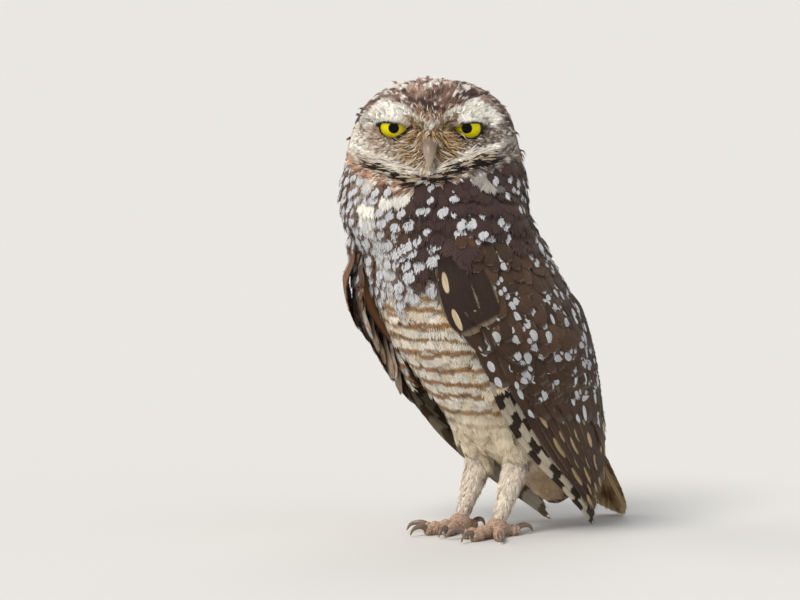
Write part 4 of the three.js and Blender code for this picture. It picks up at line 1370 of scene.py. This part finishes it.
# Painted shade: patches on the head's left side, away from the key lamp, lean to the darker colours.
luck_and_shade = rng.uniform(size=len(seeds)) - 0.16 * ease(seed_own[:, 0], -5, 25) - 0.2 * brow_gap + 0.05
blotch = BLOTCHES[np.searchsorted(BLOTCH_STEPS, luck_and_shade)][nearest]
ground = blend(ground, blotch, 0.88 * crown)
pick = rng.uniform(size=len(roots))
ground = np.where((pick < 0.3 * varied)[:, None], blend(ground, BROW_WHITE, 0.6), ground)
ground = np.where((pick > 1 - 0.2 * varied)[:, None], blend(ground, CREASE_BROWN, 0.6), ground)
ground = ground * np.exp(rng.normal(0, 0.14, len(roots)))[:, None]
forward = own[:, 1] < 0
leftward = own[:, 0] > 0
regions = {"face_left": forward & leftward, "face_right": forward & ~leftward, "nape": ~forward}
for word, part in regions.items():
    feather_piece(
        f"head_tufts_{word}", shafts[part], normals[part], wide[part], face_tuft,
        (ground[part], *UNMARKED), TUFT, "head_plumage", stray=0.12,
    )

# Long curved bristles that spring from the lores beside the bill, fall over its base and fan
# out under the eyes, golden, white and dark.
bristle = Template()
bristle.sheet([0.0, 0.3, 0.6, 0.85, 1.0], [0.8, 1.0, 0.75, 0.4, 0.1], 2)
BRISTLES = 1000
rng = np.random.default_rng(43)
own = to_head(centres)
out, rise = np.abs(own[:, 0]), own[:, 2] - EYE_LEVEL
lores = bell(np.hypot((out - 5) / 3.4, (rise + 6) / 6.5)) * (own[:, 1] < -15)
lores = lores * ~under_lid * (lid_gap(centres)[0] > 0.8)
roots = scatter(head_points, head_faces, lores, BRISTLES, rng)
own = to_head(roots)
sign = np.sign(own[:, 0])
rise = own[:, 2] - EYE_LEVEL
fall = ease(-rise, -2.5, 1.5)
way = np.column_stack([sign * 0.1 + own[:, 0] * 0.05, np.full(len(roots), -0.25), mix(1.0, -0.9, fall)])
ways = unit(way_to_body(unit(way)) + rng.normal(0, 0.24, way.shape))
long = rng.uniform(4.0, 11.0, len(roots)) * mix(0.5, 1.0, fall)
rises = rng.uniform(0.9, 2.6, len(roots))
shafts, normals = lay(roots, ways, long, rises, head_tree, 0.27 * sign * fall)
BRISTLE_TINTS = np.array([paint(text) for text in ("#b08a58", "#cfae7c", "#efe7d8", "#4a3324")])
tint = BRISTLE_TINTS[rng.choice(4, len(roots), p=[0.36, 0.2, 0.18, 0.26])]
feather_piece(
    "face_bristles", shafts, normals, rng.uniform(0.13, 0.25, len(roots)), bristle,
    (tint, *UNMARKED), TUFT, "head_plumage", stray=0.0, cup=0.0,
)

# The brow's lowest feathers hang from its ridge over the upper lid and end in an even edge
# just above its black rim. Stiff short ones lie over the bill's root and down its flanks.


def face_at(x, rise):
    """Places on the face, in the head's own axes, by their side and rise over the eyes."""
    starts = to_body(np.stack(np.broadcast_arrays(x, -60.0, EYE_LEVEL + rise), -1))
    inward = Vector(unit(way_to_body([0, 1, 0])))
    return to_head(np.array([head_tree.ray_cast(Vector(start), inward)[0] for start in starts]))


def hung(name, lines, halves, tints):
    """A coat of tufts hung along lines in the head's own axes, facing forwards."""
    ahead = unit(np.gradient(lines, axis=1))
    out = np.array([0, -0.9, 0.43])
    facing = unit(out - ahead * (ahead @ out)[..., None])
    feather_piece(
        name, to_body(lines), way_to_body(facing), halves, face_tuft,
        (tints, *UNMARKED), TUFT, "head_plumage", stray=0.1,
    )


rng = np.random.default_rng(45)
BROW_TUFTS = 220
# By the way outwards from the pupil: the height of the opening's upper edge.
LID_TOP = ([-8, -6.3, -3.4, 0, 3.4, 5.9, 8.5], [-1.2, -0.3, 1.7, 2.3, 2.4, 2.1, 0.8])
shares = np.linspace(0, 1, SHAFT_STEPS + 1)
lines, tints = [], []
for side in SIDES.values():
    out = rng.uniform(-7.5, 8.5, BROW_TUFTS)
    rim = np.interp(out, *LID_TOP)
    low = rim + EYE_RISE + PUPIL_OFF[1] + 1.0 + rng.uniform(0, 0.8, BROW_TUFTS)
    high = low + rng.uniform(3.2, 7.0, BROW_TUFTS)
    steps = []
    for share in shares:
        x = side * (EYE_OUT + out + mix(-2.2, 1.2, share)) + PUPIL_OFF[0]
        steps.append(face_at(x, mix(high, low, share)))
    steps = np.array(steps)
    straight = mix(steps[0, :, 1], steps[-1, :, 1] - 1.0, shares[:, None])
    steps[..., 1] = np.minimum(straight, steps[..., 1]) - mix(0.1, 0.7, shares)[:, None]
    lines.append(steps.transpose(1, 0, 2))
    tint = blend(BROW_WHITE, FACE_GOLD, 0.7 * ease(-out, 1.5, 6))
    tint = np.where((rng.uniform(size=BROW_TUFTS) < 0.1)[:, None], tint * 0.45, tint)
    tints.append(tint * rng.uniform(0.85, 1.05, (BROW_TUFTS, 1)))
hung("brow_tufts", np.vstack(lines), rng.uniform(0.55, 0.85, 2 * BROW_TUFTS), np.vstack(tints))

BILL_TUFTS = 240
x, rise = rng.normal(0, 2.4, BILL_TUFTS), rng.uniform(-6.5, -1.5, BILL_TUFTS)
roots = face_at(x, rise)
end_x = x * 1.35 + np.sign(x) * rng.uniform(0.6, 2.4, BILL_TUFTS)
end_rise = rise - rng.uniform(2.5, 6.5, BILL_TUFTS) * mix(0.55, 1.0, ease(np.abs(x), 0.5, 3))
front = -31.8 - 6.8 * bell(end_x / 3.2) * ease(-end_rise, 2.5, 9)
tips = np.column_stack([end_x, front, EYE_LEVEL + end_rise])
middle = (roots + tips) / 2 + np.array([0, -1.5, 0.8])
done = shares[None, :, None]
left = 1 - done
lines = left**2 * roots[:, None] + 2 * done * left * middle[:, None] + done**2 * tips[:, None]
halves = rng.uniform(0.22, 0.42, BILL_TUFTS)
hung("bill_root_tufts", lines, halves, BRISTLE_TINTS[rng.choice(4, BILL_TUFTS, p=[0.34, 0.2, 0.16, 0.3])])

# The ruff: stiff thin feathers that lie along the crease under the face in four close lines,
# dark and cream in turn, and spring from the skin towards both sides.
rng = np.random.default_rng(47)
RUFF = 430
# For each of its four levels: how high over the crease it starts, how far it stands off, its tint.
RUFF_RISE = np.array([0.0, 1.5, 2.5, 3.8])
RUFF_LIFT = np.array([2.3, 2.6, 2.2, 2.4])
RUFF_TINTS = np.array([paint(text) for text in ("#1a110d", "#b9a78f", "#33251d", "#d9d0c2")])
x = rng.uniform(-24, 22, RUFF)
level = rng.choice(4, RUFF, p=[0.46, 0.17, 0.17, 0.2])
rise = crease_rise(x) + RUFF_RISE[level] + rng.normal(0, 0.2, RUFF)
roots = to_body(face_at(x, rise))
slope = crease_rise(x + 1) - crease_rise(x - 1)
way = unit(np.column_stack([np.full(RUFF, 2.0), np.zeros(RUFF), slope])) * np.sign(x + 2)[:, None]
ways = unit(way_to_body(way) + rng.normal(0, 0.1, way.shape))
long = rng.uniform(7, 13, RUFF)
shafts, normals = lay(roots, ways, long, RUFF_LIFT[level] + rng.normal(0, 0.2, RUFF), head_tree)
feather_piece(
    "face_ruff", shafts, normals, rng.uniform(0.3, 0.6, RUFF), bristle,
    (RUFF_TINTS[level], *UNMARKED), TUFT, "head_plumage", stray=0.0, cup=0.0,
)

# The legs' short cream feathers, which lie flat on the skin from the thighs down to the
# toes, a little browner behind.
LEG_TUFTS = 4200
LEG_SHADE = paint("#ab8a70")
rng = np.random.default_rng(51)
centres = skin_points[skin_faces].mean(1)
on_leg = (centres[:, 2] < 42) & (centres[:, 1] < mix(16, 27, ease(centres[:, 2], 20, 40)))
roots = scatter(skin_points, skin_faces, on_leg.astype(float), LEG_TUFTS, rng)
up_leg = ease(roots[:, 2], 8, 40)
ways = unit(np.array([0, -0.35, -1.0]) + rng.normal(0, 0.12, roots.shape))
long = mix(3.4, 8.0, up_leg) * rng.uniform(0.7, 1.3, len(roots))
shafts, normals = lay(roots, ways, long, mix(0.8, 2.2, up_leg) * rng.uniform(0.7, 1.6, len(roots)))
shade = ease(roots[:, 1] - mix(0, 14, ease(roots[:, 2], 5, 35)), -4, 5)
shade = np.clip(shade + rng.normal(0, 0.2, len(roots)), 0, 1)
feather_piece(
    "leg_tufts", shafts, normals, long * 0.15, face_tuft,
    (blend(LEG_CREAM, LEG_SHADE, 0.5 * shade), *UNMARKED), TUFT, "leg_plumage", stray=0.12,
)

# The bill: a hooked upper half of grey horn that is paler towards its tip, with the soft
# cere and nostrils at its base, over a short lower half.
horn_material, tree, shader = new_material("bill_horn")
_, bill_along, _ = parts_of(tree, read_of(tree, "vane"))
mottle = noise_of(tree, own_place(tree), 420.0, 4.0)
horn = mix_of(tree, step_of(tree, bill_along, 0.45, 0.95), (0.19, 0.135, 0.105, 1), (0.46, 0.38, 0.27, 1))
horn = mix_of(tree, sum_of(tree, "MULTIPLY", mottle, 0.55), horn, (0.12, 0.07, 0.045, 1))
put(tree, shader.inputs["Base Color"], horn)
bump_of(tree, shader, mottle, 0.0002)
shader.inputs["Roughness"].default_value = 0.38

BILL_MIDDLE = -0.6
UPPER_BILL = [(-23, -8.4), (-30, -8), (-35.4, -10.2), (-38.4, -14.8), (-39.2, -20.4)]
LOWER_BILL = [(-22, -12.6), (-29, -13.6), (-35.4, -15)]
BILL_HALF = ([0, 0.35, 0.55, 0.7, 0.85, 1], [4.2, 3.7, 3.3, 2.5, 1.3, 0.3])
BILL_TURNS, BILL_RINGS = 32, 40
NOSTRIL = np.array([3.6, -31.6, EYE_LEVEL - 7.6])


def upper_bill(a, t):
    return np.interp(a, *BILL_HALF) * (1 - 0.25 * ease(np.sin(t), 0, 1)), mix(5, 0.5, a**1.25)


def lower_bill(a, t):
    return mix(3.2, 1.0, a), mix(2.0, 0.7, a)


for name, line, size in (("bill_upper", UPPER_BILL, upper_bill), ("bill_lower", LOWER_BILL, lower_bill)):
    line = [(BILL_MIDDLE, y, EYE_LEVEL + rise) for y, rise in line]
    bill_points, bill_faces = closed_rings(tube(line, size, turns=BILL_TURNS, rings=BILL_RINGS))
    if name == "bill_upper":
        for side in SIDES.values():
            near = np.linalg.norm(bill_points - NOSTRIL * (side, 1, 1), axis=1)
            bill_points[:, 0] -= side * 1.2 * bell(near / 1.1)
    piece = new_piece(f"{name}_horn", to_body(bill_points), bill_faces)
    along = np.repeat(np.linspace(0, 1, BILL_RINGS), BILL_TURNS)
    attribute(piece, "vane", np.column_stack([along * 0, along, along * 0]))
    fasten(piece, horn_material, "bill_horn", name)

# The feet: pinkish brown toes with rows of scales and swollen pads, three ahead and one
# behind, each ending in a dark curved claw.
toe_material, tree, shader = new_material("toe_scales")
place = own_place(tree)
cells = tree.nodes.new("ShaderNodeTexVoronoi")
cells.feature = "DISTANCE_TO_EDGE"
cells.inputs["Scale"].default_value = 900.0
put(tree, cells.inputs["Vector"], place)
gap = step_of(tree, cells.outputs["Distance"], 0.0, 0.16)
tint = mix_of(tree, noise_of(tree, place, 160.0, 3.0), (0.44, 0.28, 0.19, 1), (0.68, 0.5, 0.37, 1))
tint = mix_of(tree, gap, (0.3, 0.17, 0.11, 1), tint)
tint = mix_of(tree, read_of(tree, "vane", "Fac"), tint, (0.13, 0.065, 0.04, 1))
put(tree, shader.inputs["Base Color"], tint)
bump_of(tree, shader, gap, 0.0003)
shader.inputs["Roughness"].default_value = 0.6

claw_material, tree, shader = new_material("claw_horn")
streaks = noise_of(tree, own_place(tree), 500.0)
tint = mix_of(tree, streaks, (0.1, 0.068, 0.052, 1), (0.26, 0.18, 0.135, 1))
put(tree, shader.inputs["Base Color"], tint)
shader.inputs["Roughness"].default_value = 0.33

# For each toe, how far it is turned outwards and its length.
TOES = {"inner": (-22, 18), "middle": (9, 21), "outer": (48, 17), "hind": (170, 13)}
TOE_HALF = 2.5
TOE_TURNS, TOE_RINGS = 28, 90
TOE_PADS, TOE_SCALES = 3.2, 13
CLAW_LENGTH = 9.5
FOOT_HALVES = (5.2, 5.7, 4.9)
FOOT_HEIGHT = 4.6


def toe_line(side, turn, stops):
    ahead = np.array([side * math.sin(math.radians(turn)), -math.cos(math.radians(turn)), 0])
    return [np.array([side * FOOT_OUT, FOOT_Y, height]) + ahead * far for far, height in stops]


def on_ground(grid):
    """Lays what hangs below the ground flat on it."""
    grid[..., 2] = np.maximum(grid[..., 2], 0.0)
    return closed_rings(grid)


def pads(a, t):
    pad = TOE_HALF + 0.45 * np.cos(a * TOE_PADS * 2 * np.pi) * (1 - 0.4 * a)
    scale = 0.24 * np.abs(np.sin(a * TOE_SCALES * np.pi)) ** 0.5 * ease(-np.sin(t), -0.2, 0.5)
    return pad - 0.14 + scale, pad + 0.06 + scale


def hook(a, t):
    return mix(1.4, 0.3, a**1.4), mix(1.7, 0.3, a**1.4)


toe_along = np.repeat(np.linspace(0, 1, TOE_RINGS), TOE_TURNS)
toe_round = np.tile(full_turn(TOE_TURNS)[0], TOE_RINGS)
groove = (1 - np.abs(np.sin(toe_along * TOE_SCALES * np.pi))) ** 2 * ease(-np.sin(toe_round), -0.3, 0.3)
for word, side in SIDES.items():
    ball = np.stack(ball_rings(24, 32), -1) * FOOT_HALVES
    foot_middle = np.array([side * FOOT_OUT, FOOT_Y, FOOT_HEIGHT])
    foot = new_piece(f"foot_scales_{word}", *on_ground(foot_middle + ball))
    fasten(foot, toe_material, "toe_skin", f"foot_{word}")
    for toe, (turn_out, length) in TOES.items():
        wide = (-math.cos(math.radians(turn_out)), -side * math.sin(math.radians(turn_out)), 0)
        stops = [(1, 5), (length * 0.42, 3.4), (length * 0.75, 2.6), (length, 2.6)]
        grid = tube(toe_line(side, turn_out, stops), pads, wide, TOE_TURNS, TOE_RINGS)
        piece = new_piece(f"toe_scales_{word}_{toe}", *on_ground(grid))
        attribute(piece, "vane", np.column_stack([groove, groove, groove]))
        fasten(piece, toe_material, "toe_skin", f"toe_{word}_{toe}")
        end = length + CLAW_LENGTH
        stops = [(length - 2.5, 3), (length + 2, 4.6), (end - 3, 3.8), (end - 0.8, 0.7)]
        grid = tube(toe_line(side, turn_out, stops), hook, wide, 20, 30)
        piece = new_piece(f"claw_hook_{word}_{toe}", *on_ground(grid))
        fasten(piece, claw_material, "claw_horn", f"claw_{word}_{toe}")

# The studio: a wide plain pale floor, soft even light, and the camera low in front of the
# bird's left shoulder, in line with its gaze.
FLOOR_HALF = 40000.0
corners = np.array([[x, y, 0.0] for y in (-FLOOR_HALF, FLOOR_HALF) for x in (-FLOOR_HALF, FLOOR_HALF)])
floor = new_piece("floor", corners - SHIFT, np.array([[0, 1, 3], [0, 3, 2]]))
floor_material, _, shader = new_material("pale_floor")
shader.inputs["Base Color"].default_value = (0.63, 0.62, 0.6, 1)
shader.inputs["Roughness"].default_value = 0.9
floor.data.materials.append(floor_material)

# The place that the camera and the lamps point at, and the camera's turn, rise and distance.
AIM = (np.array([-26.26, -26.26, 112.8]) + SHIFT) / PER_METRE
CAMERA_TURN, CAMERA_RISE, CAMERA_FAR = 45, 5, 2.117
LAMP_FAR = 1.25


def turned(azimuth, elevation, distance):
    """A place round the bird and the way from it to the bird."""
    azimuth, elevation = math.radians(azimuth), math.radians(elevation)
    level = math.cos(elevation)
    back = np.array([math.sin(azimuth) * level, -math.cos(azimuth) * level, math.sin(elevation)])
    return Vector(AIM + back * distance), Vector(-back)


view = bpy.data.cameras.new("view")
view.lens = 200
view.sensor_width = 36
view.clip_start = 0.05
camera = bpy.data.objects.new("view", view)
camera.location, looking = turned(CAMERA_TURN, CAMERA_RISE, CAMERA_FAR)
camera.rotation_euler = looking.to_track_quat("-Z", "Y").to_euler()
scene.collection.objects.link(camera)
scene.camera = camera

# The sun lamps: turn, rise, spread, strength and colour.
for name, azimuth, elevation, spread, strength, colour in (
    ("key", 12, 48, 22, 2.6, (1.0, 0.96, 0.9)),
    ("fill", 105, 25, 70, 0.45, (0.9, 0.95, 1.0)),
    ("side", -55, 20, 50, 1.1, (1.0, 0.95, 0.88)),
    ("back", 215, 50, 50, 0.5, (1.0, 0.99, 0.97)),
):
    lamp = bpy.data.lights.new(name, "SUN")
    lamp.angle = math.radians(spread)
    lamp.energy = strength
    lamp.color = colour
    holder = bpy.data.objects.new(name, lamp)
    holder.location, looking = turned(azimuth, elevation, LAMP_FAR)
    holder.rotation_euler = looking.to_track_quat("-Z", "Y").to_euler()
    scene.collection.objects.link(holder)
world = bpy.data.worlds.new("studio")
world.use_nodes = True
sky = world.node_tree.nodes["Background"]
sky.inputs["Color"].default_value = (0.93, 0.96, 1.0, 1)
sky.inputs["Strength"].default_value = 0.42
scene.world = world
scene.view_settings.view_transform = "Standard"
